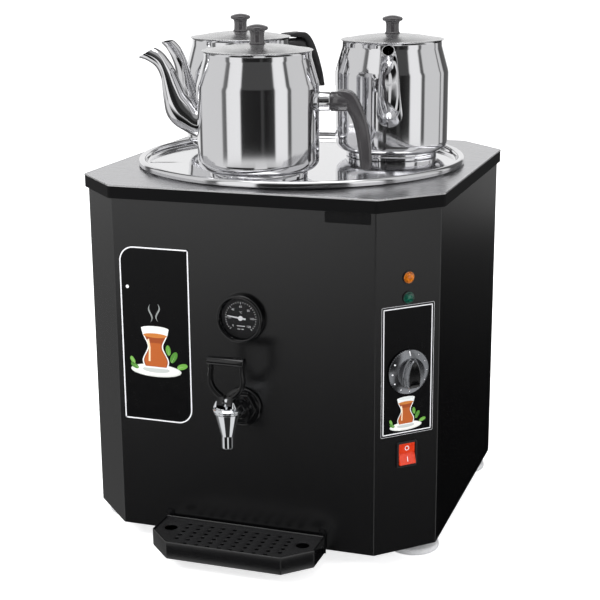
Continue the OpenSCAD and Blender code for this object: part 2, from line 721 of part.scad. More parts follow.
module tap_lever() color("#171718") at_tap() translate([0, 0, pin_z]) difference() {
  union() {
    for (s = [-1, 1]) translate([s > 0 ? cheek_in : -cheek_out, 0, 0]) rotate([90, 0, 90])
      linear_extrude(cheek_out - cheek_in) polygon(cam_profile());
    rotate([90, 0, 0]) translate([0, 0, -4]) linear_extrude(8) difference() {
      polygon(concat(curve(arm_outer), mirrored(curve(arm_outer))));
      polygon(concat(curve(arm_inner), mirrored(curve(arm_inner))));
    }
    translate([-stirrup_w - 0.8, 0, stirrup_h - bar_h / 2]) rotate([90, 0, 90])
      linear_extrude(2 * stirrup_w + 1.6) polygon(rounded(rect(13, bar_h), 3));
  }
  translate([-20, 0, 0]) rotate([0, 90, 0]) cylinder(r = pin_r, h = 40, $fn = 48);
}

module tap_pin() color("#b4b7ba") at_tap() translate([-cheek_out, 0, pin_z]) rotate([0, 90, 0])
  cylinder(r = pin_r, h = 2 * cheek_out, $fn = 48);

// Chamfer controls -------------------------------------------------------------------

module lamp(shade) color(shade) {
  rotate_extrude() polygon(concat([[0, eps], [lamp_d / 2, eps], [lamp_d / 2, 1.5]],
    arc([lamp_d / 2 - 3.2, 1.6], 2.8, 0, 60, 4), [[0, 4.6]]));
  translate([0, 0, -24]) cylinder(r = lamp_d / 2 - 1 - slip, h = 24 + 2 * eps);
  translate([0, 0, -4 - sheet]) ring(lamp_d / 2 + 2, lamp_d / 2 - 1 - slip, 4 - eps);
}

module amber_lamp() on_chamfer(lamp_rise + lamp_gap / 2) lamp("#c8690f");
module green_lamp() on_chamfer(lamp_rise - lamp_gap / 2) lamp("#0c5a46");

module rocker_frame() color("#121213") on_chamfer(rocker_rise) difference() {
  union() {
    translate([0, 0, eps]) linear_extrude(2) polygon(rounded(rect(rocker_w, rocker_h), 1.5));
    translate([-switch_box[0] / 2, -switch_box[1] / 2, -switch_box[2]])
      cube([switch_box[0], switch_box[1], switch_box[2] + 1]);
    for (i = [-1:1]) translate([-3, i * 8 - 0.4, -switch_box[2] - 8]) cube([6, 0.8, 9]);
  }
  translate([-button[0] / 2 - rest, -button[1] / 2 - rest, -16])
    cube([button[0] + 2 * rest, button[1] + 2 * rest, 30]);
  translate([-button[0] / 2 - 2, 0, rocker_axis]) rotate([0, 90, 0])
    cylinder(r = trunnion_r + run, h = button[0] + 4, $fn = 48);
}

// Profile of the rocker in its plane of travel: two faces that meet in a shallow valley
module rocker_button() color("#e8301a")
  on_chamfer(rocker_rise) translate([0, 0, rocker_axis]) rotate([-rocker_tilt, 0, 0]) {
  reach = button[1] / 2 - 1.1;
  valley = 2.2 - rocker_axis - reach * tan(rocker_tilt) / 2;
  translate([-button[0] / 2, 0, 0]) rotate([90, 0, 90]) linear_extrude(button[0]) polygon([
    [-reach, valley + reach * tan(rocker_tilt)], [-reach + 1, -1], [-4, -6], [4, -6], [reach - 1, -1],
    [reach, valley + reach * tan(rocker_tilt)], [0, valley]]);
  translate([-button[0] / 2 - 1.5, 0, 0]) rotate([0, 90, 0])
    cylinder(r = trunnion_r, h = button[0] + 3, $fn = 48);
}

module knob_skirt() color("#4b4c4f") on_chamfer(knob_rise) difference() {
  rotate_extrude() polygon([[0, plate_t + rest], [knob_d / 2, plate_t + rest], [knob_d / 2, 3],
                            [knob_d / 2 - 2.5, knob_t], [0, knob_t]]);
  translate([0, 0, -eps]) cylinder(r = knob_shaft_r, h = 20);
}

// Pointed grip: a round heel with two tangents that meet at the tip
function teardrop(r, tip) = let (a = acos(r / tip)) concat(arc([0, 0], r, 90 + a, 450 - a, 24), [[0, tip]]);

module knob_grip() color("#111112") on_chamfer(knob_rise) difference() {
  translate([0, 0, knob_t + eps]) {
    linear_extrude(9) polygon(teardrop(10.5, knob_d / 2 - 3));
    cylinder(r = 14, h = 2.5);
  }
  cylinder(r = knob_shaft_r, h = knob_t + 5);
}

module knob_spindle() color("#c0a060")
  on_chamfer(knob_rise) translate([0, 0, -stat_in - stat[2] / 2 + 4 + rest])
    cylinder(r = knob_shaft_r - eps, h = stat_in + stat[2] / 2 + knob_t);

// Drip tray --------------------------------------------------------------------------

// Plan of the tray, drawn in by g; the back edge stands off the panel for its bracket
module drip_plan(g = 0) {
  w = drip_w / 2 - g;
  f = drip_reach - g;
  b = drip_back + g;
  c = drip_cut - g * (2 - sqrt(2));
  polygon(rounded([[w, -b], [-w, -b], [-w, c - f], [c - w, -f], [w - c, -f], [w, c - f]], max(2 - g, 0.5)));
}

module drip_level(z) at_body() translate([0, -face_y, z]) children();

module drip_tray() color("#242426") difference() {
  drip_level(drip_floor) linear_extrude(drip_h) drip_plan();
  drip_level(drip_floor + drip_sheet) linear_extrude(grid_z - drip_floor - drip_sheet - rest)
    drip_plan(drip_sheet + 2);
  drip_level(grid_z - rest) linear_extrude(drip_h) drip_plan(drip_sheet);
}

module drip_grid() color("#2b2b2d") {
  columns = floor((drip_w - 54) / hole_pitch);
  rows = floor((drip_reach - hole_first - 5) / hole_row);
  reach = drip_w / 2 + drip_reach - drip_cut - corner_clear;
  difference() {
    drip_level(grid_z) linear_extrude(grid_t) drip_plan(drip_sheet + rest);
    drip_level(grid_z - 1) linear_extrude(grid_t + 2) {
      for (row = [0:rows]) for (i = [0:columns - 1])
        let (x = (i - (columns - 1) / 2) * hole_pitch, y = hole_first + row * hole_row)
          if (abs(x) + y < reach) translate([x, -y]) circle(r = hole_r, $fn = 24);
      for (s = [-1, 1]) translate([s * (drip_w / 2 - 17.5), -finger_y]) circle(r = finger_r);
    }
  }
}

// Plate on the front panel with two arms under the tray, held by two domed screws
module drip_bracket() color("#1f1f21") drip_level(0) {
  leaf_z = drip_floor - rest - bracket_t;
  dome_r = (pow(screw_head[0], 2) + pow(screw_head[1], 2)) / (2 * screw_head[1]);
  dome_low = screw_head[1] - dome_r;
  translate([-drip_w / 2, -bracket_t, leaf_z]) cube([drip_w, bracket_t - eps, grid_z - leaf_z]);
  for (s = [-1, 1]) translate([s * drip_w / 4 - 8, -drip_reach + 16, leaf_z])
    cube([16, drip_reach - 16 - eps, bracket_t]);
  for (s = [-1, 1]) {
    translate([s * screw_x - 4, -bracket_t, grid_z - 1]) cube([8, bracket_t - eps, drip_z - grid_z + 7]);
    translate([s * screw_x, eps - bracket_t, drip_z + 2.6]) rotate([90, 0, 0])
      rotate_extrude() polygon(concat([[0, 0]], arc([0, dome_low], dome_r, asin(-dome_low / dome_r), 90, 5)));
  }
}

// Steam tray ---------------------------------------------------------------------------

module steam_tray() color("#d8dadc") at_body(top_z + rest) difference() {
  r = tray_d / 2;
  union() {
    rotate_extrude($fn = 180) polygon(strip(concat([[0, 0], [r - 14, 0]], arc([r - 14, 4], 4, -70, -20, 4),
      [[r - 8, tray_h / 2]], arc([r - 3 - tray_sheet, tray_h - 3 - tray_sheet], 3, 160, 0, 8),
      [[r - tray_sheet, 2]]), tray_sheet));
    translate([0, 0, -7]) ring(mouth_r - 1, mouth_r - 2, 7 + eps);
  }
  rotate([0, 0, 203]) translate([r - 18, 0, -1]) cylinder(r = 2.5, h = 4, $fn = 24);
}

// Teapots --------------------------------------------------------------------------------

// The shoulder is two equal arcs, one bulging and one hollow
shoulder_run = neck_rise - pot_shoulder;
shoulder_turn = 2 * atan((pot_r - neck_r) / shoulder_run);
shoulder_r = shoulder_run / 2 / sin(shoulder_turn);

// Profile of a teapot's outer face, or of its inner face when g is the wall
function pot_profile(g) = concat([[0, pot_ring_h + g]],
  arc([pot_r - pot_corner, pot_ring_h + pot_corner], pot_corner - g, -90, 0),
  arc([pot_r - shoulder_r, pot_shoulder], shoulder_r - g, 0, shoulder_turn, 6),
  arc([neck_r + shoulder_r, neck_rise], shoulder_r + g, 180 + shoulder_turn, 180, 6),
  [[neck_r - g, pot_h]]);

function ferrule_end(i) = pot_r + ferrule_len - ferrule_in[i];

module pot_body(i) color("#c9ccd0") at_pot(i) difference() {
  union() {
    rotate_extrude() polygon(concat(pot_profile(0), reversed(pot_profile(pot_wall))));
    rotate_extrude() polygon([[pot_ring_d / 2 - 1, 0], [pot_ring_d / 2, 0],
                              [pot_ring_d / 2, pot_ring_h + 1], [pot_ring_d / 2 - 1, pot_ring_h + 0.5]]);
    difference() {
      translate([-ferrule_end(i), 0, ferrule_z + ferrule_up[i]]) rotate([0, 90, 0])
        ring(ferrule_r, ferrule_r - 1.2, ferrule_len + 4);
      rotate_extrude() polygon(concat(pot_profile(0.2), [[0, pot_h]]));
    }
  }
  for (a = [0:60:300]) strainer_hole(8 * cos(a), 8 * sin(a));
  strainer_hole(0, 0);
}

module strainer_hole(y, z) translate([pot_r - 6, y, spout_root + z]) rotate([0, 90, 0])
  cylinder(r = strainer_r, h = 12, $fn = 24);

// Middle line of a spout, and the half width, half depth and slant of its section at t;
// the mouth is cut back to face upwards
function spout_line(i) = let (out = spout_reach - spout_in[i])
  [[pot_r - 9, spout_root], [pot_r + 43 - spout_in[i], spout_root - 8], [out - 43, 118], [out, 139]];
function spout_half(t) = 8.2 + 7.4 * pow(cos(90 * t), 1.6);
function spout_deep(t) = 8.6 + 9.6 * pow(1 - t, 1.8) + 1.8 * pow(t, 6);
function spout_slant(line, t) = heading(line, t) + 34 * pow(t, 5);
function spout_ring(line, t, g) = let (c = cubic(line, t), s = spout_slant(line, t))
  [for (j = [0:spout_sides - 1]) let (a = 360 * j / spout_sides, b = (spout_deep(t) - g) * cos(a))
    [c[0] - b * sin(s), (spout_half(t) - g) * sin(a), c[1] + b * cos(s)]];

module pot_spout(i) color("#c9ccd0") at_pot(i) difference() {
  skin(concat([for (k = [0:spout_steps]) spout_ring(spout_line(i), k / spout_steps, 0)],
    [for (k = [spout_steps:-1:0]) spout_ring(spout_line(i), k / spout_steps, spout_wall)]),
    spout_sides, true);
  rotate_extrude() polygon(concat(pot_profile(-eps), [[0, pot_h]]));
}

// Edges of the grip: the inner one starts under the socket, the outer one at the thumb rest
function grip_outer(i) = let (r = grip_reach - grip_in[i], z = grip_up[i])
  [[r - 24, 97 + z], [r - 8, 90 + z], [r, 50 + z], [r, grip_low[i]]];
function grip_inner(i) = let (r = grip_reach - grip_in[i], z = grip_up[i])
  [[r - 13, grip_low[i]], [r - 13, max(40, grip_low[i] + 20)], [r - 20, 66 + z], [r - 28, 73 + z]];

module pot_handle(i) color("#4a484a") at_pot(i) {
  socket_x = ferrule_end(i) + eps;
  reach = grip_reach - grip_in[i];
  level = 97 + grip_up[i];
  translate([-socket_x, 0, ferrule_z + ferrule_up[i]]) rotate([0, -90, 0])
    cylinder(r = ferrule_r + 0.3, h = reach - 26 - socket_x);
  translate([-socket_x - eps, 0, ferrule_z + ferrule_up[i]]) rotate([0, 90, 0])
    cylinder(r = ferrule_r - 1.2 - run, h = max(ferrule_len - 4 - ferrule_in[i], 2));
  tip = reach - 22 - thumb_len[i];
  rest_edge = [[reach - 22, level - 9], [tip, level - 5], [tip - 2, level]];
  translate([0, grip_w / 2, 0]) rotate([90, 0, 0]) linear_extrude(grip_w)
    polygon([for (q = concat(curve(grip_outer(i)), curve(grip_inner(i)), rest_edge)) [-q[0], q[1]]]);
}

lid_z = pot_h + rest;
dome_r = (pow(neck_r - 2, 2) + pow(lid_rise, 2)) / (2 * lid_rise);

module pot_lid(i) color("#d3d5d8") at_pot(i) translate([0, 0, lid_z]) {
  rotate_extrude() polygon(strip(concat(
    arc([0, lid_rise - dome_r], dome_r, 90, 90 - asin((neck_r - 2) / dome_r), 8),
    [[neck_r, 0.01], [lid_r, 0]]), lid_sheet));
  translate([0, 0, -9]) ring(neck_r - pot_wall - 0.4, neck_r - pot_wall - 1.2, 9.4);
}

knob_z = lid_z + lid_rise + lid_sheet + eps;
knob_cap = lid_knob_d / 2;

module pot_lid_knob(i) color("#57555a") at_pot(i) translate([0, 0, knob_z]) rotate_extrude()
  polygon(concat([[0, 0], [knob_stem_r + 1.6, 0], [knob_stem_r + 1, 1]],
    arc([knob_stem_r + 3, 3], 3, 210, 180, 3),
    [[knob_stem_r, 14]], arc([knob_cap - 2, 17], 2, -90, 20, 5), arc([0, -1], 24, 62, 90, 8)));

body_casing();
top_frame();
top_plate();
base_plate();
water_tank();
tank_jacket();
tank_legs();
heating_element();
element_nuts();
thermostat();
thermostat_bulb();
safety_cutout();
terminal_block();
cable_gland();
feet();
foot_bolts();
gauge_case();
gauge_dial();
gauge_glass();
gauge_pointer();
front_plate();
panel_plate();
badge_plate();
tap_body();
tap_rosette();
tap_gaskets();
tap_lock_nut();
tap_bonnet();
tap_stem();
tap_seat_cup();
tap_spring();
tap_lever();
tap_pin();
amber_lamp();
green_lamp();
rocker_frame();
rocker_button();
knob_skirt();
knob_grip();
knob_spindle();
drip_bracket();
drip_tray();
drip_grid();
steam_tray();
pot_body(0);  // pot_1_body
pot_spout(0);  // pot_1_spout
pot_handle(0);  // pot_1_handle
pot_lid(0);  // pot_1_lid
pot_lid_knob(0);  // pot_1_lid_knob
pot_body(1);  // pot_2_body
pot_spout(1);  // pot_2_spout
pot_handle(1);  // pot_2_handle
pot_lid(1);  // pot_2_lid
pot_lid_knob(1);  // pot_2_lid_knob
pot_body(2);  // pot_3_body
pot_spout(2);  // pot_3_spout
pot_handle(2);  // pot_3_handle
pot_lid(2);  // pot_3_lid
pot_lid_knob(2);  // pot_3_lid_knob
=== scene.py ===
import bpy, bmesh, math
import numpy as np
from mathutils import Matrix


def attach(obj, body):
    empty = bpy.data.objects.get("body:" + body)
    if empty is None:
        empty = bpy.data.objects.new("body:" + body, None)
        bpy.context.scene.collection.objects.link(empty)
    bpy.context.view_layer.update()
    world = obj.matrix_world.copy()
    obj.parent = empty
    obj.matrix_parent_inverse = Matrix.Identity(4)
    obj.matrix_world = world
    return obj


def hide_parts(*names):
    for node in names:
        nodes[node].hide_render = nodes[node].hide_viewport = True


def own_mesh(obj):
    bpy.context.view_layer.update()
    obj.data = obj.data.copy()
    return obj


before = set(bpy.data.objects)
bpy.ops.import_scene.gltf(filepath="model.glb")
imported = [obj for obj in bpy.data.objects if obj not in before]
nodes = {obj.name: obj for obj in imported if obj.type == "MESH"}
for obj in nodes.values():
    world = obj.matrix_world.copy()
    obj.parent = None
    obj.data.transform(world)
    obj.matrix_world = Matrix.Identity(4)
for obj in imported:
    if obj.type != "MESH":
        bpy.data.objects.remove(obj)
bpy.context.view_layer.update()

# ---- sizes in millimetres; a rise is counted from the casing's lower edge
MM = 0.001
BODY_Y = 27.5            # the casing's axis lies this far behind the origin
BODY_Z = 18.0            # lower edge of the casing
TOP_Z = 423.0            # upper face of the top plate
FACE = 210.0             # from the axis to each panel
CHAMFER = 256.68         # from the axis to each corner face
OVERHANG = 4             # of the top plate past the panels
STEAM_R = 196.0          # outer radius of the steam tray
STEAM_Z = TOP_Z + 0.3    # underside of its floor
POT_Z = 424.6            # underside of the teapots
POT_CIRCLE = 116         # from the casing's axis to each teapot's
POTS = ((-96, -167), (149, -126), (36, -77))   # bearing of each teapot on the tray, bearing of its spout
LID_Z, LID_KNOB_Z = 140.3, 147.65              # on a teapot
TAP_OUT, TAP_RISE = 48, 161                    # the tap's axis before the panel, its shank's middle
TAP_TOP, PIN_Z = 15, 21.5                      # the tap's body and the lever's pin above that middle
TILT, LIFT = 60, 4                             # the lever's full tilt in degrees lifts the plunger by 4 mm
GAUGE_RISE, PANEL_RISE, KNOB_RISE, ROCKER_RISE = 264, 212, 211, 115
PLATE_X, PLATE_RISE = -104, 234
BADGE_X, BADGE_RISE = 122, 383
AMBER_RISE, GREEN_RISE = 316.5, 294            # pilot lamps
GLAND_X, GLAND_RISE = 120, 45
PLATE_T, INK_Z = 0.4, 0.43                     # plates and the ink on them stand this far off the casing
FEET_X, FEET_Y = 178, 130
DRIP_W, DRIP_REACH, DRIP_BACK, DRIP_CUT = 97.0, 72.0, 3.0, 29.0   # half width, front, gap behind, cut corner


# ---- curves and surfaces
def coords(*axes):
    """Points from their coordinates: arrays that broadcast to one shape, or numbers."""
    return np.stack(np.broadcast_arrays(*axes), -1)


def arc(cx, cy, r, a0, a1, n=8):
    """Points at (cx + r cos a, cy + r sin a) for n + 1 even steps of a from a0 to a1 degrees."""
    a = np.radians(np.linspace(a0, a1, n + 1))
    return coords(cx + r * np.cos(a), cy + r * np.sin(a))


def circle(x, y, r, n):
    """n points round (x, y), the first not repeated at the end."""
    return arc(x, y, r, 0, 360 - 360 / n, n - 1)


def path(*runs):
    """One list of points from single points and runs of points."""
    return np.concatenate([np.atleast_2d(np.asarray(r, float)) for r in runs])


def flowing(points, n=12):
    """Catmull-Rom curve through the points: on each span the cubic leaves and arrives along half the
    line between the neighbours on either side."""
    p = np.asarray(points, float)
    p = np.concatenate([[2 * p[0] - p[1]], p, [2 * p[-1] - p[-2]]])
    t = np.linspace(0, 1, n, endpoint=False)[None, :, None]
    a, b, c, d = (p[i:len(p) - 3 + i, None] for i in range(4))
    q = 0.5 * (2 * b + (c - a) * t + (2 * a - 5 * b + 4 * c - d) * t ** 2 + (3 * b - a - 3 * c + d) * t ** 3)
    return np.concatenate([q.reshape(-1, p.shape[1]), p[-2:-1]])


def eased(points, radii, n=5, closed=False):
    """Corner i of a path becomes an arc of radius radii[i] that touches both of its sides."""
    p = np.asarray(points, float)
    r = np.broadcast_to(np.asarray(radii, float), len(p))
    out = []
    for i, b in enumerate(p):
        if not closed and i in (0, len(p) - 1) or r[i] <= 0:
            out.append(b[None])
            continue
        u, v = p[i - 1] - b, p[(i + 1) % len(p)] - b
        u, v = u / np.linalg.norm(u), v / np.linalg.norm(v)
        half = math.acos(np.clip(u @ v, -1, 1)) / 2
        if half > 1.56:
            out.append(b[None])
            continue
        hub = b + (u + v) / np.linalg.norm(u + v) * r[i] / math.sin(half)
        s, e = b + u * r[i] / math.tan(half) - hub, b + v * r[i] / math.tan(half) - hub
        turn = math.atan2(s[0] * e[1] - s[1] * e[0], s @ e)
        a = math.atan2(s[1], s[0]) + turn * np.linspace(0, 1, n + 1)
        out.append(hub + r[i] * coords(np.cos(a), np.sin(a)))
    return np.concatenate(out)


def hexagon(r, soft, n):
    """Six corners at distance r, each eased by an arc of radius soft."""
    return eased(circle(0, 0, r, 6), soft, n, closed=True)


def rounded_box(w, h, r, n=5):
    """Closed anticlockwise rectangle w by h with corners of radius r."""
    x, y = w / 2, h / 2
    return eased([(x, -y), (x, y), (-x, y), (-x, -y)], r, n, closed=True)


def turned(profile, n=96):
    """Surface of a lathe: point (i, j) is (r cos a, r sin a, z) with (r, z) the profile's point i and a
    the j-th of n even steps round the axis."""
    p = np.asarray(profile, float)
    a = np.arange(n) * 2 * np.pi / n
    return coords(p[:, :1] * np.cos(a), p[:, :1] * np.sin(a), p[:, 1:])


def along_x(profile, n=48):
    """The same lathe with its axis along -X: (r, s) becomes a ring of radius r at x = -s."""
    g = turned(profile, n)
    return coords(-g[..., 2], g[..., 0], g[..., 1])


def knurled(grid, count, depth, low):
    """The same lathe with r + depth cos(count a) for each radius r above low, at bearing a."""
    r = np.linalg.norm(grid[..., :2], axis=-1)
    wave = depth * np.cos(count * np.arctan2(grid[..., 1], grid[..., 0])) * (r > low)
    grid[..., :2] *= (1 + wave / np.maximum(r, 1))[..., None]
    return grid


def inset(outline, g):
    """Closed anticlockwise outline moved inwards by g along the mean normal of each point's two sides."""
    p = np.asarray(outline, float)
    d = np.roll(p, -1, 0) - np.roll(p, 1, 0)
    d /= np.linalg.norm(d, axis=1)[:, None]
    return p + g * coords(-d[:, 1], d[:, 0])


def dense(outline, n):
    """Closed outline as n points at even steps of its length."""
    p = np.concatenate([outline, outline[:1]])
    along = np.concatenate([[0], np.cumsum(np.linalg.norm(np.diff(p, axis=0), axis=1))])
    at = np.linspace(0, along[-1], n, endpoint=False)
    return coords(*(np.interp(at, along, p[:, i]) for i in (0, 1)))


def at_z(outline, z):
    """Points of a flat outline, raised to z."""
    return coords(*np.asarray(outline, float).T, z)


def capped(rings):
    """The same rings with a point in the middle of the first and of the last, so that both ends are
    closed."""
    g = np.asarray(rings, float)
    first, last = (end.mean(1, keepdims=True) + 0 * end for end in (g[:1], g[-1:]))
    return np.concatenate([first, g, last])


def slab(outline, z0, z1, bevel=0.6, n=3):
    """Prism over an outline with rounded upper edges: rings drawn in by bevel (1 - cos a) and raised by
    bevel sin a, then a level ring further in, closed above and below by a ring drawn in to the middle."""
    a = np.radians(np.linspace(0, 90, n + 1))
    edge = [(bevel * (1 - math.cos(x)), z1 - bevel * (1 - math.sin(x))) for x in a]
    mid = np.asarray(outline, float).mean(0) + 0 * np.asarray(outline)
    rings = [at_z(inset(outline, g), z) for g, z in [(0, z0)] + edge + [(1.6 * bevel, z1)]]
    return np.array([at_z(mid, z0)] + rings + [at_z(mid, z1)])


def swept(line, across, section):
    """Surface carried along a line: point (i, j) is line[i] + x n_i + y across, with (x, y) the j-th point of
    the i-th section and n_i the normal that the line's direction makes with the fixed direction across."""
    line, across = np.asarray(line, float), np.asarray(across, float)
    d = np.gradient(line, axis=0)
    d /= np.linalg.norm(d, axis=1)[:, None]
    n = np.cross(across, d)
    n /= np.linalg.norm(n, axis=1)[:, None]
    return line[:, None] + section[..., :1] * n[:, None] + section[..., 1:] * across


def rounded_section(r, n):
    """Anticlockwise unit square with corners of radius r, to be scaled to a section."""
    c = 0.5 - r
    corners = (c, c, 0), (-c, c, 90), (-c, -c, 180), (c, -c, 270)
    return path(*(arc(x, y, r, a, a + 90, n) for x, y, a in corners))


def rect(w, h, x=0.0, y=0.0):
    return np.array([[-w, -h], [w, -h], [w, h], [-w, h]]) / 2 + [x, y]


def flat_patch(outline, z):
    """Level sheet from the outline to its middle."""
    p = np.asarray(outline, float)
    return np.array([at_z(p.mean(0) + s * (p - p.mean(0)), z) for s in (1, 0)])


def frame_line(outline, width, g=0.0):
    """Level band of ink along a closed outline: from g to g + width inside it."""
    return np.array([at_z(inset(outline, d), INK_Z) for d in (g, g + width)])


# ---- places on the urn
def about_z(deg):
    c, s = math.cos(math.radians(deg)), math.sin(math.radians(deg))
    return np.array([[c, -s, 0], [s, c, 0], [0, 0, 1]])


UPRIGHT = np.array([[1, 0, 0], [0, 0, -1], [0, 1, 0]])   # x to the right, y up, z out of a panel
LEVEL = np.eye(3)


def on_panel(deg, reach, x, rise):
    """Frame on a vertical face turned by deg from the front: x along it, y up, z outwards."""
    turn = about_z(deg) @ UPRIGHT
    return turn, turn @ [x, 0, reach] + [0, BODY_Y, BODY_Z + rise]


def on_front(x, rise): return on_panel(0, FACE, x, rise)
def on_corner(rise): return on_panel(45, CHAMFER, 0, rise)
def level_at(x, y, z): return LEVEL, np.array([x, y, z])
def raised(spot, z): return spot[0], spot[1] + [0, 0, z]


def at_pot(i):
    a = math.radians(POTS[i][0])
    return about_z(POTS[i][1]), np.array([POT_CIRCLE * math.cos(a), BODY_Y + POT_CIRCLE * math.sin(a), POT_Z])


TAP = level_at(0, BODY_Y - FACE - TAP_OUT, BODY_Z + TAP_RISE)
FRONT_FOOT = level_at(0, BODY_Y - FACE, 0)               # under the front panel
FEET = [level_at(sx * FEET_X, BODY_Y + sy * FEET_Y, 0) for sx in (-1, 1) for sy in (-1, 1)]


# ---- meshes
def placed(name, data):
    """A new object in the scene."""
    made = bpy.data.objects.new(name, data)
    bpy.context.scene.collection.objects.link(made)
    return made


def final_mesh(made):
    """Mesh of an object as its modifiers or its typeface leave it."""
    return bpy.data.meshes.new_from_object(made.evaluated_get(bpy.context.evaluated_depsgraph_get()))


def piece(name, parts, body, stuff, spot, stands_for=None, crease=35, tint=None):
    """One object from surfaces of points, drawn at one spot or at each of a list. A part is a grid whose
    last column joins the first, or (grid, False) where it doesn't, or (points, faces); a tinted part ends
    with the ink of each point. Doubled points at poles and seams are merged."""
    verts, faces, inks, start = [], [], [], 0
    for turn, at in spot if isinstance(spot, list) else [spot]:
        for part in parts:
            g, how, *ink = part if isinstance(part, tuple) else (part, True)
            if isinstance(how, bool):
                n, m = g.shape[:2]
                i, j = np.meshgrid(np.arange(n - 1) * m, np.arange(m if how else m - 1), indexing="ij")
                k = (j + 1) % m
                how = coords(i + j, i + k, i + m + k, i + m + j).reshape(-1, 4)
            pts = np.asarray(g, float).reshape(-1, 3)
            faces += [tuple(int(v) + start for v in q) for q in how]
            verts.append(pts @ turn.T + at)
            inks += ink
            start += len(pts)
    mesh = bpy.data.meshes.new(name)
    mesh.from_pydata((np.concatenate(verts) * MM).tolist(), [], faces)
    if tint:
        colour = mesh.color_attributes.new(tint, "FLOAT_COLOR", "POINT")
        colour.data.foreach_set("color", np.concatenate(inks).astype(np.float32).ravel())
    bm = bmesh.new()
    bm.from_mesh(mesh)
    bmesh.ops.remove_doubles(bm, verts=bm.verts, dist=1e-7)
    bmesh.ops.dissolve_degenerate(bm, edges=bm.edges, dist=1e-8)
    bmesh.ops.recalc_face_normals(bm, faces=bm.faces)
    bm.to_mesh(mesh)
    bm.free()
    mesh.shade_smooth()
    mesh.set_sharp_from_angle(angle=math.radians(crease))
    made = placed(name, mesh)
    mesh.materials.append(stuff)
    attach(made, body)
    if stands_for:
        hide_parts(stands_for)
    return made


def ink_lines(name, marks, spot, body="urn"):
    piece(name, marks, body, white_ink, spot)


# ---- finishes
def linear(code, alpha=1.0):
    """Linear colour of an sRGB hex code: a channel c becomes ((c + 0.055) / 1.055) to the power 2.4, and
    c / 12.92 below 0.04045."""
    c = np.array([int(code[i:i + 2], 16) / 255 for i in (1, 3, 5)])
    c = np.where(c <= 0.04045, c / 12.92, ((c + 0.055) / 1.055) ** 2.4)
    return (*c.tolist(), alpha)


def add(mat, kind, inputs=None, **settings):
    """Adds one node to a material: settings are its properties, inputs are values or outputs of other
    nodes."""
    node = mat.node_tree.nodes.new("ShaderNode" + kind)
    for key, value in settings.items():
        setattr(node, key, value)
    for key, value in (inputs or {}).items():
        if isinstance(value, bpy.types.NodeSocket):
            mat.node_tree.links.new(value, node.inputs[key])
        else:
            node.inputs[key].default_value = value
    return node


def finish_of(name, code, metallic=0.0, roughness=0.4, **sockets):
    """A material of one Principled surface; sockets are further inputs by name, with _ for a space."""
    mat = bpy.data.materials.new(name)
    mat.use_nodes = True
    skin = mat.node_tree.nodes["Principled BSDF"]
    skin.inputs["Base Color"].default_value = linear(code)
    skin.inputs["Metallic"].default_value = metallic
    skin.inputs["Roughness"].default_value = roughness
    for key, value in sockets.items():
        skin.inputs[key.replace("_", " ")].default_value = value
    return mat


def worn(name, codes, grain_mm, rough, metallic=0.0, spread=(1, 1, 1), bump=0.0, depth_mm=0.05, detail=4.0,
         **sockets):
    """Noise on the piece's own millimetres: it moves the roughness between two values, the colour between
    two shades where codes holds two, and lifts the surface by depth_mm. spread stretches the grain along an
    axis."""
    shades = codes.split()
    mat = finish_of(name, shades[0], metallic, sum(rough) / 2, **sockets)
    links = mat.node_tree.links
    skin = mat.node_tree.nodes["Principled BSDF"]
    where = add(mat, "TexCoord")
    scale = [1 / (grain_mm * MM * s) for s in spread]
    scaled = add(mat, "Mapping", {"Vector": where.outputs["Object"], "Scale": scale})
    noise = add(mat, "TexNoise", {"Vector": scaled.outputs[0], "Scale": 1.0, "Detail": detail,
                                  "Roughness": 0.55})
    level = add(mat, "MapRange", {"Value": noise.outputs["Fac"], "From Min": 0.3, "From Max": 0.7,
                                  "To Min": rough[0], "To Max": rough[1]})
    links.new(level.outputs[0], skin.inputs["Roughness"])
    if len(shades) == 2:
        ramp = add(mat, "ValToRGB", {"Fac": noise.outputs["Fac"]})
        for stop, at, code in zip(ramp.color_ramp.elements, (0.35, 0.65), shades):
            stop.position, stop.color = at, linear(code)
        links.new(ramp.outputs[0], skin.inputs["Base Color"])
    if bump:
        lift = add(mat, "Bump", {"Height": noise.outputs["Fac"], "Strength": bump, "Distance": depth_mm * MM})
        links.new(lift.outputs[0], skin.inputs["Normal"])
    return mat


def metal(*args, **settings): return worn(*args, metallic=1.0, **settings)


# Polyester powder coat, sprayed and baked on steel sheet: satin black with a faint orange peel, whose
# cells of 0.8 mm are drawn 3 mm wide to show
powder_coat = worn("powder_coat", "#060607", 3.0, (0.22, 0.26), bump=0.03, Specular_IOR_Level=0.8)
# Baked enamel on the frame round the top and on the tray's bracket: deep black and matt, so it stays dark
# beside the satin coat
matt_enamel = worn("matt_black_enamel", "#0c0c0d", 2.0, (0.55, 0.66), bump=0.1, depth_mm=0.04,
                   Specular_IOR_Level=0.12)
# Powder coat on pressed sheet that hands and cups rub: a little glossier
rubbed_coat = worn("rubbed_powder_coat", "#0d0d0e", 2.2, (0.18, 0.26), bump=0.05, Specular_IOR_Level=0.8)
# The same coat on the grid, a lighter grey than the tray round it
lighter_grid_coat = worn("lighter_grid_powder_coat", "#1d1d1e", 2.2, (0.26, 0.34), bump=0.05, Specular_IOR_Level=0.8)
# Stainless sheet ground with a belt: fine lines of 0.1 mm along X, drawn 0.9 mm wide
ground_stainless = metal("belt_ground_stainless", "#b8b8bb #ccccce", 0.9, (0.22, 0.34), spread=(60, 1, 1),
                         bump=0.06, depth_mm=0.02, detail=2.0)
# Stainless sheet, spun and buffed on a wheel: a mirror with slow waves of 40 mm
buffed_stainless = metal("buffed_stainless", "#e2e2e4", 40.0, (0.055, 0.085), bump=0.05, depth_mm=0.5,
                         detail=1.0)
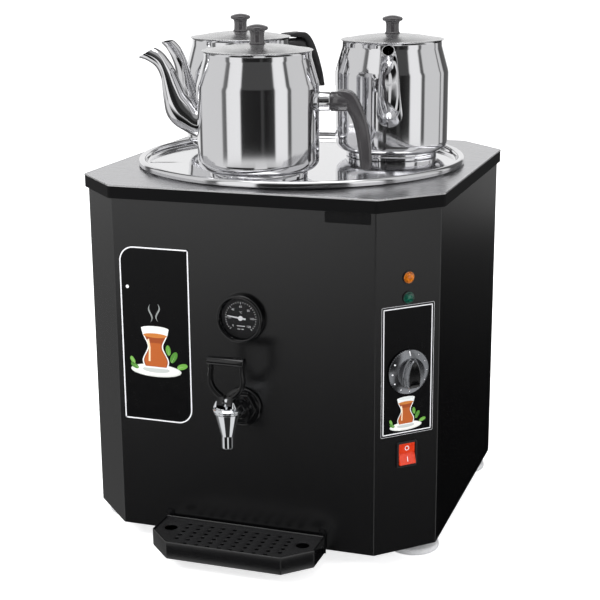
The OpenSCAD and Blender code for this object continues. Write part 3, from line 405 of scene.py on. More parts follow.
# The same sheet, pressed and only lightly buffed: a soft shine that blurs what it mirrors
satin_stainless = metal("satin_stainless", "#dededf", 12.0, (0.25, 0.32), bump=0.03, depth_mm=0.2, detail=2.0)
# Nickel and chrome plate on turned brass: the sharpest mirror on the urn
chrome_plate = metal("chrome_plate", "#dfe1e4", 12.0, (0.04, 0.07))
# Phenolic bakelite, pressed in a hot mould: dark grey, glossy where held, with faint flow marks
bakelite = worn("phenolic_bakelite", "#3e3c3e #424042", 1.6, (0.18, 0.24), bump=0.04, Specular_IOR_Level=1.0)
# The same resin, blacker and a little duller, on the teapot of another make
dark_bakelite = worn("black_phenolic_bakelite", "#171618 #232224", 1.6, (0.34, 0.46), bump=0.05)
# ABS, injection moulded in a polished tool: deep black with sharp highlights
black_abs = worn("polished_black_abs", "#070708", 2.0, (0.12, 0.18))
# Polyamide, moulded in a spark-eroded tool: black with a dry grain of 0.4 mm
black_nylon = worn("grained_black_nylon", "#101011", 0.8, (0.42, 0.58), bump=0.2, depth_mm=0.03)
# Polypropylene, moulded: light grey, a little waxy
grey_plastic = worn("light_grey_polypropylene", "#e0e1e2 #ebebec", 3.0, (0.26, 0.36))
# Aluminium plate 0.4 mm thick, screen printed black and lacquered: smooth, with a clear gloss
printed_black = worn("lacquered_black_print", "#070708", 8.0, (0.2, 0.28), Specular_IOR_Level=0.2)
# Screen ink, laid on the black print: white with a dull skin
white_ink = worn("white_screen_ink", "#e6e6e8 #f2f2f4", 1.2, (0.3, 0.4))
# Inks of many colours in one print: each point of the mesh carries the colour of its ink
colour_print = worn("four_colour_screen_print", "#808080", 1.0, (0.28, 0.36))
ink_colour = add(colour_print, "Attribute", attribute_name="ink")
colour_print.node_tree.links.new(ink_colour.outputs["Color"],
                                 colour_print.node_tree.nodes["Principled BSDF"].inputs["Base Color"])
# Matt lacquer on the gauge's face: a dark grey that mirrors nothing
dial_lacquer = worn("dark_dial_lacquer", "#151517", 1.0, (0.45, 0.55))
# Float glass with nothing behind it but the dial: clear, with a thin mirror on its face
dial_glass = finish_of("flat_glass", "#0c0c0e", roughness=0.02, Alpha=0.1, IOR=1.5)
# ABS with a metal lacquer: grey and satin, its flakes of 0.1 mm drawn 1 mm wide
silver_lacquer = metal("silver_lacquered_abs", "#85878b #939599", 1.0, (0.2, 0.26))
# Polycarbonate lenses, moulded with facets: deep colour under a clear gloss
amber_lens = worn("amber_polycarbonate", "#8c4204 #d27814", 2.0, (0.08, 0.16), Coat_Weight=0.5)
green_lens = worn("green_polycarbonate", "#032a22 #095542", 2.0, (0.08, 0.16), Coat_Weight=0.5)
# Polycarbonate rocker: a clear, even red, with a faint painted glow from its emission that lifts the red
red_rocker = worn("red_polycarbonate_painted_glow", "#c02806 #ce340c", 3.0, (0.16, 0.24), Coat_Weight=0.4,
                  Emission_Color=linear("#f04a10"), Emission_Strength=0.08)
# Inner and lower pieces, seen from below or through the gaps only: zinc-plated and mill sheet in dull grey,
zinc_plate = metal("zinc_plated_steel", "#8e9093 #a8aaad", 5.0, (0.34, 0.5))
plain_stainless = metal("mill_stainless", "#b0b1b3", 6.0, (0.3, 0.42))
# brass off the lathe and drawn copper, yellow and red with a soft shine,
turned_brass = metal("turned_brass", "#c8a64e", 1.0, (0.22, 0.34))
copper_tube = metal("drawn_copper", "#b4714a", 3.0, (0.24, 0.38))
# a loose blanket of mineral wool, and moulded nylon, rubber and silicone without gloss
mineral_wool = worn("mineral_wool", "#b9ab78 #ddd3a8", 3.0, (0.9, 1.0), spread=(3, 3, 1), bump=0.8,
                    depth_mm=1.5)
white_nylon = worn("white_nylon", "#e4e0d4", 1.0, (0.45, 0.55))
red_rubber = worn("red_rubber", "#6b2f24", 1.0, (0.65, 0.8))
white_silicone = worn("white_silicone", "#e8e6e0", 1.0, (0.55, 0.65))

for stuff, names in (
        (powder_coat, "body_casing"), (matt_enamel, "top_frame drip_bracket"),
        (ground_stainless, "top_plate"), (chrome_plate, "tap_stem tap_pin"),
        (white_silicone, "tap_seat_cup"), (red_rubber, "tap_gaskets"), (copper_tube, "thermostat_bulb"),
        (zinc_plate, "base_plate tank_legs foot_bolts thermostat heating_element"),
        (plain_stainless, "water_tank"), (mineral_wool, "tank_jacket"), (white_nylon, "terminal_block"),
        (turned_brass, "element_nuts tap_lock_nut knob_spindle"), (black_nylon, "safety_cutout")):
    for name in names.split():
        nodes[name].data.materials.clear()
        nodes[name].data.materials.append(stuff)


# ---- steam tray
def steam_tray():
    """Lathe: a level floor, a wall that leans out, and a bead rolled over an arc of 3 mm; the spigot below
    drops into the mouth of the top plate. One small hole near the wall lets steam out."""
    r = STEAM_R
    under = path([[0, 0]], eased([[140, 0], [r - 9.5, 0], [r - 8, 4.6], [r - 6.6, 6]], [0, 3, 4, 0], 6),
                 arc(r - 4, 5, 3, 158, 0, 16), [[r - 1, 2]])
    over = path([[0, 1]], eased([[140, 1], [r - 10.2, 1], [r - 8.8, 4.9], [r - 7.7, 6.4]], [0, 3, 4, 0], 6),
                arc(r - 4, 5, 4, 158, 0, 20), [[r, 2]])
    spigot = [[163.2, 0.1], [164, 0.1], [164, -6.8], [163, -7], [163, 0.1]]
    tray = piece("buffed_steam_tray", [turned(path(under, over[::-1]), 256), turned(spigot, 160)],
                 "steam_tray", buffed_stainless, level_at(0, BODY_Y, STEAM_Z), "steam_tray")
    reach, bearing = 178, math.radians(203)
    hole = level_at(reach * math.cos(bearing), BODY_Y + reach * math.sin(bearing), STEAM_Z)
    drill = piece("drill", [turned([[0, -3], [2.5, -3], [2.5, 4], [0, 4]], 32)], "steam_tray",
                  buffed_stainless, hole)
    pierce = tray.modifiers.new("steam_hole", "BOOLEAN")
    pierce.object, pierce.solver = drill, "EXACT"
    mesh = final_mesh(tray)
    tray.modifiers.clear()
    tray.data = mesh
    bpy.data.objects.remove(drill)


# ---- teapots
def pot_shell():
    """Lathe: flat bottom, corner arc of 13 mm, straight wall, a shoulder of 16 degrees between curves of 25
    and 12 mm, and a rim that is turned out by half a millimetre. The wall is 1 mm thick."""
    def face(g):
        wall = eased([[69 - g, 50], [69 - g, 103], [60.5 - g, 133], [60.5 - g, 136.5]],
                     [0, 25 - g, 12 + g, 0], 12)
        return path([[0, 7 + g], [40, 7 + g]], arc(56, 20, 13 - g, -90, 0, 14), wall)
    rim = [[60.4, 138.4], [60.9, 139.6], [60.6, 140], [59.6, 139.8], [59.5, 138.4]]
    return path(face(0), rim, face(1)[::-1])


def edges(*lines): return [flowing(line, 5) for line in lines]


# Lower and upper edge of a spout, and inner and outer edge of a grip, as (reach, height): the first of each
# is on pot_1 and pot_3, the second on pot_2, which is of another make
SPOUTS = (
    edges([(60, 44), (71, 43), (85, 50), (97, 58), (105, 70), (108, 89), (109.5, 108), (115, 121.5),
           (124.5, 129), (134.5, 132.5)],
          [(60, 76), (69, 75.5), (74, 82.5), (82, 92), (88, 105), (95, 121), (101.5, 131), (106, 136.5),
           (111, 140.5), (116, 143)]),
    edges([(60, 45), (68, 44), (78, 50), (86, 59), (90, 71), (91.5, 89), (93.5, 107), (99, 121), (106, 132),
           (113, 139)],
          [(60, 76), (66, 75.5), (69, 81), (72, 91), (76.5, 105), (82, 120), (86.5, 129), (90, 134.5),
           (93.5, 138.5), (97, 141.5)]))
GRIPS = (
    edges([(90.5, 92), (93, 89.5), (97, 82), (100.5, 74), (106, 63.5), (110, 49), (113.5, 27), (115.5, 9)],
          [(90, 97), (98, 97.6), (107, 95.5), (114, 87), (121.3, 70), (125.6, 54), (128.4, 32), (129.4, 9)]),
    edges([(67.5, 137.2), (80, 136), (90, 134), (95, 127), (98.5, 118), (104, 106), (109, 93), (112, 83),
           (113.5, 73)],
          [(67, 142), (80, 143), (93, 142.8), (100, 139.5), (107, 131), (113, 119), (118.5, 105), (123, 90),
           (126.5, 72.5)]))


def spout_grid(lower, upper):
    """Loft of ovals: oval t spans the lower and the upper edge line, and its half width narrows from 15.6 to
    7.4 mm; the seam of the two halves stands 0.4 mm proud along both edges."""
    t = np.linspace(0, 1, len(lower))[:, None]
    a = np.radians(np.arange(0, 360, 10))[None]
    mid, half = (lower + upper) / 2, (upper - lower) / 2
    wide = 7.4 + 8.2 * np.cos(np.pi / 2 * t) ** 1.5
    seam = 0.4 * (np.exp(-((np.cos(a) - 1) / 0.01) ** 2) + np.exp(-((np.cos(a) + 1) / 0.01) ** 2))
    reach = np.linalg.norm(half, axis=1)[:, None]

    def layer(g):
        c = np.cos(a) * (1 - g / reach + (seam / reach if g == 0 else 0))
        s = np.sin(a) * (wide - g)
        return coords(mid[:, :1] + half[:, :1] * c, s, mid[:, 1:] + half[:, 1:] * c)
    return np.concatenate([layer(0), layer(0.9)[::-1]])


def grip_grid(inner, outer):
    """Loft of rounded rectangles between the grip's inner and outer edge lines: 17 mm wide at its root, 20 mm
    near the middle and 15.5 mm at its end, with a shallow flute on each side of a middle rib."""
    t = np.linspace(0, 1, len(inner))[:, None]
    x, y = rounded_section(0.3, 5).T
    mid, half = (inner + outer) / 2, outer - inner
    w = 17 + 3.5 * np.sin(np.pi * np.clip(t * 1.3, 0, 1)) - 1.5 * t
    dish = 1 - 0.2 * np.exp(-((np.abs(y) - 0.24) / 0.12) ** 2) * (x > 0)
    grid = coords(-(mid[:, :1] + half[:, :1] * x * dish), w * y, mid[:, 1:] + half[:, 1:] * x * dish)

    def shrunk(ring, g): return ring.mean(1, keepdims=True) + (ring - ring.mean(1, keepdims=True)) * g
    return capped(np.concatenate([shrunk(grid[:1], 0.8), grid, shrunk(grid[-1:] - [0, 0, 0.8], 0.86)]))


def teapot(i):
    """Shell with its foot ring and ferrule, spout, grip with its socket, domed lid and mushroom knob. The
    second teapot has a short spout and a high grip close to the lid. A lid falls by 6.5 (r / 58.5)^2 from
    its middle."""
    name, spot, other = f"pot_{i + 1}", at_pot(i), i == 1
    stem, high, reach = (66, 124, 98) if other else (82, 84, 108)
    ring = [[54.5, 7.2], [55.5, 7.6], [55.8, 6.6], [55.5, 0.6], [54.9, 0], [54.5, 0.6], [54.5, 7.2]]
    cuff = [(9.4, -15.5), (12.4, -15.1), (12.2, -13.6), (10.8, -12.4), (10.5, -11), (10.5, -1.4),
            (10.1, -0.8), (9.4, -0.6), (9.4, -15.5)]
    if other:
        cuff = [(9.4, -6.5), (10.6, -6.5), (10.5, -1), (10.1, -0.6), (9.4, -0.6), (9.4, -6.5)]
    shell = [turned(pot_shell(), 192), turned(ring, 160), along_x(cuff, 64) + [-stem, 0, high]]
    piece(name + "_shell", shell, name, buffed_stainless, spot, name + "_body")
    piece(name + "_two_half_spout", [spout_grid(*SPOUTS[other])], name, buffed_stainless, spot,
          name + "_spout", 50)
    back = stem - 8 + 6 * other
    socket = [[0, back], [9, back], [9, stem - 0.1], [10.2, stem], [10.9, stem + 0.6], [11, reach - 12],
              [10.6, reach - 7], [9, reach - 3.5], [5.5, reach - 1], [0, reach]]
    piece(name + "_grip", [grip_grid(*GRIPS[other]), along_x(socket, 64) + [0, 0, high]], name,
          dark_bakelite if other else bakelite, spot, name + "_handle", 50)

    def dome(top, r): return [[x, top - 6.5 * (x / 58.5) ** 2] for x in r]
    lid = path([[0, 7.3]], dome(7.3, np.linspace(8, 58.5, 14)),
               [[60.5, 0.7], [62, 0.75], [62.5, 0.4], [62.2, 0], [60.5, -0.05]],
               dome(6.5, np.linspace(58.5, 0, 14)))
    skirt = [[59.0, 0.2], [59.0, -8.6], [58.6, -9], [58.3, -8.6], [58.3, 0.2]]
    piece(name + "_domed_lid", [turned(lid, 160), turned(skirt, 128)], name + "_lid", satin_stainless,
          raised(spot, LID_Z), name + "_lid", 40)
    cap = path([[0, 0], [9.2, 0], [9.3, 0.5], [8.7, 1.0]],
               flowing([(8.1, 2), (7.8, 6), (7.9, 11), (8.6, 13.6), (9.8, 14.7)], 5),
               arc(9.9, 17.0, 2.4, -75, 50, 9), arc(0, -6.5, 27.8, 65.7, 90, 12))
    piece(name + "_mushroom_knob", [turned(cap, 72)], name + "_lid", bakelite, raised(spot, LID_KNOB_Z),
          name + "_lid_knob", 40)


# ---- tap
def tap():
    """Lathe for the cone, from the outlet up to the beaded rim, with the shank behind it. The bonnet is a
    disc under two shoulders, each a stack of half ovals that draws in upwards."""
    cone = path([[0, -5], [4.4, -5], [4.4, -31], [4.4, -31.6]],
                eased([[5, -32], [6.4, -32], [6.9, -31.2], [7.0, -18], [14, 8.2], [15.2, 9.2]],
                      [0, 0.4, 1, 9, 1.5, 0], 6),
                arc(13.8, 11.6, 2, -50, 60, 8), [[13.4, 14.6], [12.8, TAP_TOP], [0, TAP_TOP]])
    shank = along_x([[0, 8], [8, 8], [8, 60], [0, 60]]) @ about_z(-90).T
    piece("chromed_tap_cone", [turned(cone), shank], "urn", chrome_plate, TAP, "tap_body", 40)
    shoulders, flat = [], 9.3
    for side in (1, -1):
        rings = []
        for reach, deep, z in ((13.3, 8.8, 0.05), (13.5, 9, 1.2), (13.2, 8.9, 2.2), (11.4, 7.8, 6),
                               (10.5, 7.2, 7.4), (10.2, 6.9, 7.9), (9.9, 6.6, 8)):
            soft = (reach - flat) * 0.6
            plan = eased([(flat, -deep), (reach, -deep), (reach, deep), (flat, deep)],
                         [0.1, soft, soft, 0.1], closed=True)
            rings.append(at_z(plan * [side, 1], z))
        shoulders.append(capped(rings))
    disc = turned([[2.6, 0.05], [12.8, 0.05], [12.6, 1.2], [2.6, 1.2], [2.6, 0.05]], 72)
    piece("chromed_bonnet", [disc] + shoulders, "urn", chrome_plate, raised(TAP, TAP_TOP), "tap_bonnet", 30)


def tap_spring():
    """Wire of radius 0.45 on a helix of radius 4.4: at angle a its centre stands at 1.75 + 9.5 a / 8 pi. The
    rising plunger presses it against the bonnet, from 10.4 mm to 6.4 mm; its upper end stays."""
    a = np.linspace(0, 8 * np.pi, 145)[:, None]
    b = np.arange(8) * np.pi / 4
    r = 4.4 + 0.45 * np.cos(b)
    wire = coords(r * np.cos(a), r * np.sin(a), 1.75 + 9.5 * a / (8 * np.pi) + 0.45 * np.sin(b))
    made = piece("coiled_spring_wire", [capped(wire)], "urn", plain_stainless, TAP, "tap_spring", 60)
    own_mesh(made)


def tap_lever():
    """Two cam cheeks on the pin, a loop of two bowed arms, and a cross bar. The cams' edge is the curve
    whose tangent at tilt a is 5 + p a away from the pin, with p the lift per radian, so they lift the pin
    evenly."""
    tilt = math.radians(TILT)
    a = np.linspace(0, tilt, 16)[:, None]
    pitch = LIFT / tilt
    down, back = np.hstack([-np.sin(a), -np.cos(a)]), np.hstack([-np.cos(a), np.sin(a)])
    cam = (5 + pitch * a) * down + pitch * back
    cheek = slab(path(cam[::-1], arc(3.5, -3, 2, -90, 0, 4), [[5.4, 1.5]], arc(2.4, 4.4, 2.2, 10, 90, 4),
                      arc(-2.4, 4.4, 2.2, 90, 170, 4)), 2.5, 8.8, 0.5)
    arm = flowing([(6.5, 5), (11.5, 9), (16.2, 14.5), (18.6, 21), (18.6, 28), (18.0, 36), (18.0, 46)], 6)
    base = rounded_section(0.36, 4)
    wide = 4.4 + 1.6 * np.linspace(1, 0, len(arm))[:, None]
    section = coords(base[:, 0] * wide, base[:, 1] * 8.5)
    parts = [coords(cheek[..., 2] * s, cheek[..., 0], cheek[..., 1]) for s in (-1, 1)]
    parts += [capped(swept(coords(arm[:, 0] * s, 0, arm[:, 1]), [0, 1, 0], section)) for s in (-1, 1)]
    y, z = rounded_section(0.42, 5).T
    x = np.array([-21.8, -21.6, -20.6, -19, 0, 19, 20.6, 21.6, 21.8])[:, None]
    fat = np.array([0.0, 0.72, 0.96, 1, 1, 1, 0.96, 0.72, 0.0])[:, None]
    parts.append(coords(x, 13 * fat * y, 45.5 + 9.5 * fat * z))
    piece("black_stirrup_lever", parts, "tap_lever", black_abs, raised(TAP, PIN_Z), "tap_lever", 40)


def tap_rosette():
    dish = path([[8.1, 1.6], [21.6, 1.6], [22.4, 2.2]], arc(20.8, 3.2, 1.6, -30, 80, 5),
                [[18.5, 5.2], [8.1, 5.6], [8.1, 1.6]])
    nut = slab(hexagon(19.2, 2.2, 4), 5, 11, 1.2)
    neck = turned([[0, 10.8], [11.5, 10.8], [11.2, 12.4], [8.6, 13.2], [8.1, 13.2]], 48)
    piece("black_rosette_nut", [turned(dish, 72), nut, neck], "urn", black_abs, on_front(0, TAP_RISE),
          "tap_rosette")


# ---- thermometer
def gauge():
    """Bezel, face and window are lathes. The hand turns on its own body. Ticks stand every 9 degrees, the
    plain numbers every 45, falling clockwise from 225."""
    spot, ink_z, rest = on_front(0, GAUGE_RISE), 2.58, 173
    bezel = path([[0, -40], [4, -40], [4, 0.05], [26.9, 0.05], [27.5, 0.6]], arc(25.1, 6.4, 2.4, 0, 100, 10),
                 [[23.7, 8.2], [23.2, 7.2], [23, 2.2], [0, 2.2]])
    piece("black_gauge_bezel", [turned(bezel, 128)], "urn", black_abs, spot, "gauge_case", 30)
    face = [[0.6, 2.25], [22.7, 2.25], [22.7, 2.5], [0.6, 2.55], [0.6, 2.25]]
    piece("gauge_face", [turned(face)], "urn", dial_lacquer, spot, "gauge_dial")
    pane = [[0, 5.8], [22.9, 5.8], [22.9, 7.1], [0, 7.3]]
    piece("gauge_window", [turned(pane)], "urn", dial_glass, spot, "gauge_glass")
    hand = slab(eased([[-6, -1.1], [15.6, -0.45], [16, 0], [15.6, 0.45], [-6, 1.1]], 0.2, 2, closed=True),
                3.2, 3.7, 0.15)
    hub = path([[0, 1.5], [0.5, 1.5], [0.5, 3.1], [2.7, 3.1], [2.7, 3.9]], arc(2.2, 3.9, 0.5, 0, 90, 4),
               [[0, 4.4]])
    piece("white_gauge_hand", [hand @ about_z(rest).T, turned(hub, 40)], "gauge_needle", white_ink, spot,
          "gauge_pointer", 30)
    marks = []
    for k in range(31):
        size = 2.6 if k % 5 == 0 else 1.4
        marks.append(flat_patch(rect(size, 0.55, 18.6 - size / 2, 0), ink_z) @ about_z(225 - 9 * k).T)
    marks += [flat_patch(rect(w, 0.8, x, y), ink_z)
              for w, x, y in ((9.5, 0, -9), (3.2, -2.4, -12.6), (2.6, 2, -12.6))]
    ink_lines("gauge_scale", marks, spot)
    turns = [(20 * k, math.radians(225 - 45 * k)) for k in range(7)]
    numbers = [(str(n), 13 * math.cos(b), 13 * math.sin(b), 3.4) for n, b in turns]
    figures("gauge_numbers", numbers + [("°C", 0, 6.6, 3.2)], spot, ink_z + 0.02)


def figures(name, words, spot, z):
    """Figures of the built-in typeface as one flat mesh: each word is centred on its place."""
    verts, faces, start = [], [], 0
    for text, x, y, size in words:
        curve = bpy.data.curves.new(name, "FONT")
        curve.body, curve.size, curve.align_x, curve.align_y = text, size, "CENTER", "CENTER"
        curve.resolution_u = 3
        made = placed(name, curve)
        bpy.context.view_layer.update()
        mesh = final_mesh(made)
        co = np.zeros(len(mesh.vertices) * 3)
        mesh.vertices.foreach_get("co", co)
        verts.append(co.reshape(-1, 3) + [x, y, z])
        faces += [tuple(v + start for v in p.vertices) for p in mesh.polygons]
        start += len(mesh.vertices)
        bpy.data.objects.remove(made)
        bpy.data.curves.remove(curve)
        bpy.data.meshes.remove(mesh)
    ink_lines(name, [(np.concatenate(verts), faces)], spot)


# ---- control panel
def controls():
    """Printed plate with its lines, and above it two lamps, each a faceted lens in a collar."""
    spot, edge = on_corner(PANEL_RISE), rounded_box(66, 148, 1.5, 3)
    bare_plate("printed_panel", edge, spot, "panel_plate")
    inner = rounded_box(61.4, 143.4, 0.8, 3)
    ink_lines("panel_lines", [frame_line(edge, 0.3, 0.15), frame_line(inner, 1.15)], spot)
    lens = path([[0, -24], [5.4, -24], [5.4, 0.05], [6.4, 0.05], [6.4, 1.3]], arc(5.9, 1.3, 0.5, 0, 70, 4),
                [[5.5, 1.9]])
    facets = [[5.5, 1.8], [5.2, 3.4], [3.6, 4.9], [1.4, 5.3], [0, 5.3]]
    collar = path([[5.5, 0.05], [7.2, 0.05], [7.2, 0.9]], arc(6.9, 0.9, 0.3, 0, 90, 3),
                  [[6.4, 1.3], [5.5, 1.4], [5.5, 0.05]])
    for name, rise, stuff in (("amber_lamp", AMBER_RISE, amber_lens), ("green_lamp", GREEN_RISE, green_lens)):
        piece(name + "_lens", [turned(lens, 64), turned(facets, 10)], "urn", stuff, on_corner(rise), name, 20)
        piece(name + "_collar", [turned(collar, 64)], "urn", black_nylon, on_corner(rise))
    knob(on_corner(KNOB_RISE))
    rocker(on_corner(ROCKER_RISE))


def bare_plate(name, edge, spot, node):
    piece(name, [slab(edge, 0.02, PLATE_T, 0.1, 2)], "urn", printed_black, spot, node)


def knob(spot):
    """The skirt is a cone of 28 degrees with a fine knurl of 0.2 mm on its edge. The grip is a disc with a
    ridge: its height is 8 + 0.9 (r / 16.6)^2 plus 8 s(d), where d is the distance from a pointed oval of
    half width 7 (1 - u^2)^0.8 with u = (y + 4) / 19.6 above y = -4, and s falls smoothly to nothing over 4
    mm; the ridge's crest is covered in black. Ten dots on the skirt grow clockwise up to a bar."""
    def cone(r): return 3.6 + (24.8 - r) * 0.53
    skirt = turned([[3, 0.75], [24.2, 0.75], [25, 1.3], [25, 3.2], [24.9, 3.4], [24.8, cone(24.8)],
                    [24.5, cone(24.5)], [17.6, cone(17.6)], [3, 7.4], [3, 0.75]], 240)
    piece("conical_knob_skirt", [knurled(skirt, 60, 0.2, 24.95)], "thermostat_knob", silver_lacquer, spot,
          "knob_skirt", 30)
    dots = [(flat_patch(circle(21.6, 0, 0.4 + 0.06 * k, 24), 0), 60 - 30 * k) for k in range(10)]
    bar = np.array([at_z(rect(4.6, h, 21.4), 0) for h in (1.2, 0)])
    marks = []
    for g, deg in dots + [(bar, 90)]:
        g[..., 2] = cone(np.linalg.norm(g[..., :2], axis=-1)) + 0.05
        marks.append(g @ about_z(deg).T)
    ink_lines("knob_marks", marks, spot, "thermostat_knob")

    def oval(y):
        return 7 * np.maximum(1 - np.clip((y + 4) / 19.6, 0, 1) ** 2, 0) ** 0.8 - 0.1 * np.clip(-4 - y, 0, 12)

    def crest(x, y):
        t = np.clip(1 - (np.abs(x) - oval(y)) / 4, 0, 1)
        ends = np.sqrt(np.maximum(1 - (y / 16.6) ** 8, 0))
        return 8 + 0.9 * (x * x + y * y) / 275 + 8 * t * t * (3 - 2 * t) * ends
    a, r = np.meshgrid(np.arange(144) * 2 * np.pi / 144, np.linspace(16.6, 0, 40))
    x, y = r * np.cos(a), r * np.sin(a)
    rim = [coords(c * x[0], c * y[0], h)
           for c, h in ((0, 7.42), (0.2, 7.42), (1, 7.42), (1.012, 7.6), (1.012, 8.5))]
    disc = np.concatenate([rim, coords(x, y, crest(x, y))])
    piece("ridged_grip", [disc], "thermostat_knob", silver_lacquer, spot, "knob_grip", 50)
    y = np.concatenate([np.linspace(-15, 15.5, 33), np.linspace(15.5, -15, 33)])
    cover = coords(np.repeat((1, -1), 33) * oval(y), y)
    inlay = np.array([at_z(cover * k, 0) for k in (1, 1, 0.97, 0.9, 0.7, 0.4, 0)])
    proud = np.array([-1, 0.05, 0.2, 0.3, 0.3, 0.3, 0.3])[:, None]
    inlay[..., 2] = crest(inlay[..., 0], inlay[..., 1]) + proud
    piece("black_ridge_inlay", [inlay], "thermostat_knob", black_abs, spot, crease=40)


def rocker(spot):
    """The bezel is a rounded frame with a well, over a box with three blades. The rocker's top rises by
    |y| tan 8 degrees from a soft valley and it rests tilted by 8; a ring and a bar are printed on it."""
    outer, inner = dense(rounded_box(26, 30, 2, 4), 96), dense(rounded_box(21.4, 26, 0.8, 4), 96)
    turns = np.radians((20, 45, 70, 90))
    rings = [(0, 0.03), (0, 1.4)] + [(0.7 * (1 - math.cos(a)), 1.4 + 0.7 * math.sin(a)) for a in turns]
    bezel = np.array([at_z(inset(outer, g), z) for g, z in rings] + [at_z(inner, z) for z in (2.1, 1.9, -8)])
    box = slab(rounded_box(22, 27, 0.6, 4), -22, -8.05, 0.1, 1)
    blades = [slab(rounded_box(6, 0.8, 0.1, 1) + [0, y], -30, -21.9, 0.1, 1) for y in (-8, 0, 8)]
    piece("rocker_bezel", [bezel, box] + blades, "urn", black_nylon, spot, "rocker_frame", 40)
    t = math.radians(8)
    tilt = np.array([[1, 0, 0], [0, math.cos(t), math.sin(t)], [0, -math.sin(t), math.cos(t)]])
    pin = [0, 0, -4.0]

    def top(y): return 5.4 + np.abs(y) * math.tan(t) - 0.35 * np.exp(-(y / 1.2) ** 2)
    plan = dense(rounded_box(20.6, 25, 1, 4), 160)
    rings = [at_z(plan * k, z) for k, z in ((0, -5), (0.9, -5), (1, -3))]
    for g, drop in ((0, 0.9), (0.12, 0.45), (0.45, 0.1), (0.9, 0.0), (2.5, 0), (5, 0), (8, 0)):
        p = plan * [1 - g / 10.3, 1 - min(g, 0.9) / 12.5]
        rings.append(np.column_stack([p, top(p[:, 1]) - drop]))
    rings.append(rings[-1] * [0, 1, 1])
    piece("red_rocker", [np.array(rings) @ tilt.T + pin], "rocker", red_rocker, spot, "rocker_button", 40)
    ring = turned([[1.9, 0], [2.7, 0]], 40) + [0, 6.2, 0]
    y = np.linspace(-9, -3.6, 8)
    bar = np.array([at_z(coords(x, y), 0) for x in (-0.4, 0.4)])
    for g in (ring, bar):
        g[..., 2] = top(g[..., 1]) + 0.06
    ink_lines("rocker_marks", [ring @ tilt.T + pin, (bar @ tilt.T + pin, False)], spot, "rocker")


# ---- printed plates
def glass_of_tea():
    """A waisted tea glass on a saucer with two lumps of sugar and a sprig of leaves, as flat inks: list of
    (outline, layer, ink). Its y is up and its middle is near the origin. The glass is bell(y) to each
    side."""
    def bell(y):
        return (9.5 + 4.2 * np.exp(-((y + 12) / 7.5) ** 2) + 5.0 / (1 + np.exp(-(y - 12) / 3.5))
                - 2.0 * np.exp(-((y - 3) / 6) ** 2))

    def full(low, high, g):
        y = np.linspace(low, high, 22)
        return path(coords(bell(y) - g, y), coords(g - bell(y), y)[::-1])

    def oval(w, h, y): return circle(0, 0, 1, 40) * [w, h] + [0, y]
    inks = [(oval(26, 6.4, -21), 0, "#d9dcd6"), (oval(23.6, 5.2, -20.6), 1, "#f0f0ea"),
            (oval(14, 2.9, -20.4), 2, "#c3c8c4"), (full(-19, 20, 0), 3, "#e8ecea"),
            (full(-17.4, 13.5, 1.3), 4, "#9a4412"), (full(-17.0, 6, 2.4), 5, "#b65a1a"),
            (oval(14.2, 2.6, 20), 5, "#f6f7f4"), (oval(12.9, 2.0, 20), 6, "#dfe4e2"),
            (oval(12.2, 2.2, 13.4), 6, "#c87830")]
    glint = np.array([(-7.4, -12), (-5.6, -12.4), (-5.0, 2), (-6.4, 10), (-8.2, 9), (-6.9, 1)])
    inks.append((glint, 7, "#f2d8b4"))
    u = np.linspace(0, np.pi, 14)
    for x, y, deg, size, shade in ((16, -12, 62, 12, "#4c8a2c"), (22, -17, 18, 11, "#6aa83e"),
                                   (14, -5, 98, 10, "#5f9c36"), (-18, -20, 150, 9, "#4c8a2c"),
                                   (-22, -16, 118, 8, "#74b04a")):
        leaf = path(coords(size * (1 - np.cos(u)) / 2, 0.27 * size * np.sin(u) ** 0.9),
                    coords(size * (1 + np.cos(u)) / 2, -0.23 * size * np.sin(u) ** 0.9)[1:-1])
        vein = np.array([(0.4, -0.14), (size * 0.92, 0), (0.4, 0.14)])
        turn = about_z(deg)[:2, :2].T
        inks += [(leaf @ turn + [x, y], 8, shade), (vein @ turn + [x, y], 9, "#c9dfa8")]
    lump = np.array([(-2.4, -1.8), (2.2, -2.1), (2.4, 1.7), (-2.2, 2.0)])
    return inks + [(lump + [x, y], 8, "#fbfaf4") for x, y in ((-15.5, -23.2), (-9.8, -24.6))]


def picture(name, shapes, size, shift, spot):
    """Flat inks, each layer 0.004 mm above the last. An outline is filled; a pair of edges is a strip."""
    parts = []
    for shape, layer, code in shapes:
        z, filled = INK_Z + 0.004 * layer, shape.ndim == 2
        shape = shape * size + shift
        g = flat_patch(shape, z) if filled else np.array([at_z(edge, z) for edge in shape])
        parts.append((g, filled, np.tile(linear(code), (g.shape[0] * g.shape[1], 1))))
    piece(name, parts, "urn", colour_print, spot, tint="ink")


def plates():
    """Front plate with two round corners, its line, a small ring and the picture; the picture again,
    smaller, on the panel; and the badge, left bare."""
    spot, (w, h) = on_front(PLATE_X, PLATE_RISE), (42.5, 102.5)
    edge = eased([(-w, -h), (w, -h), (w, h), (-w, h)], [0.5, 18, 0.5, 18], 10, closed=True)
    bare_plate("printed_front_plate", edge, spot, "front_plate")
    dot = turned([[0, INK_Z], [2.0, INK_Z]], 32) + [-33.2, 55.2, 0]
    ink_lines("front_plate_lines", [frame_line(edge, 1.5, 0.5), dot], spot)
    steam, t = [], np.linspace(0, 1, 20)
    for x, sway, y in ((-4, 1.6, 26), (3.5, -1.8, 27)):
        line = coords(x + sway * np.sin(2 * np.pi * t), y + 18 * t)
        wide = coords(0.9 * np.sin(np.pi * t), 0)
        steam.append((np.array([line + wide, line - wide]), 3, "#8d9290"))
    picture("front_plate_picture", glass_of_tea() + steam, 1.2, [-1.2, -16], spot)
    picture("panel_picture", glass_of_tea(), 0.78, [-1.5, -47.5], on_corner(PANEL_RISE))
    bare_plate("bare_badge", rounded_box(51, 12, 1.5, 4), on_front(BADGE_X, BADGE_RISE), "badge_plate")


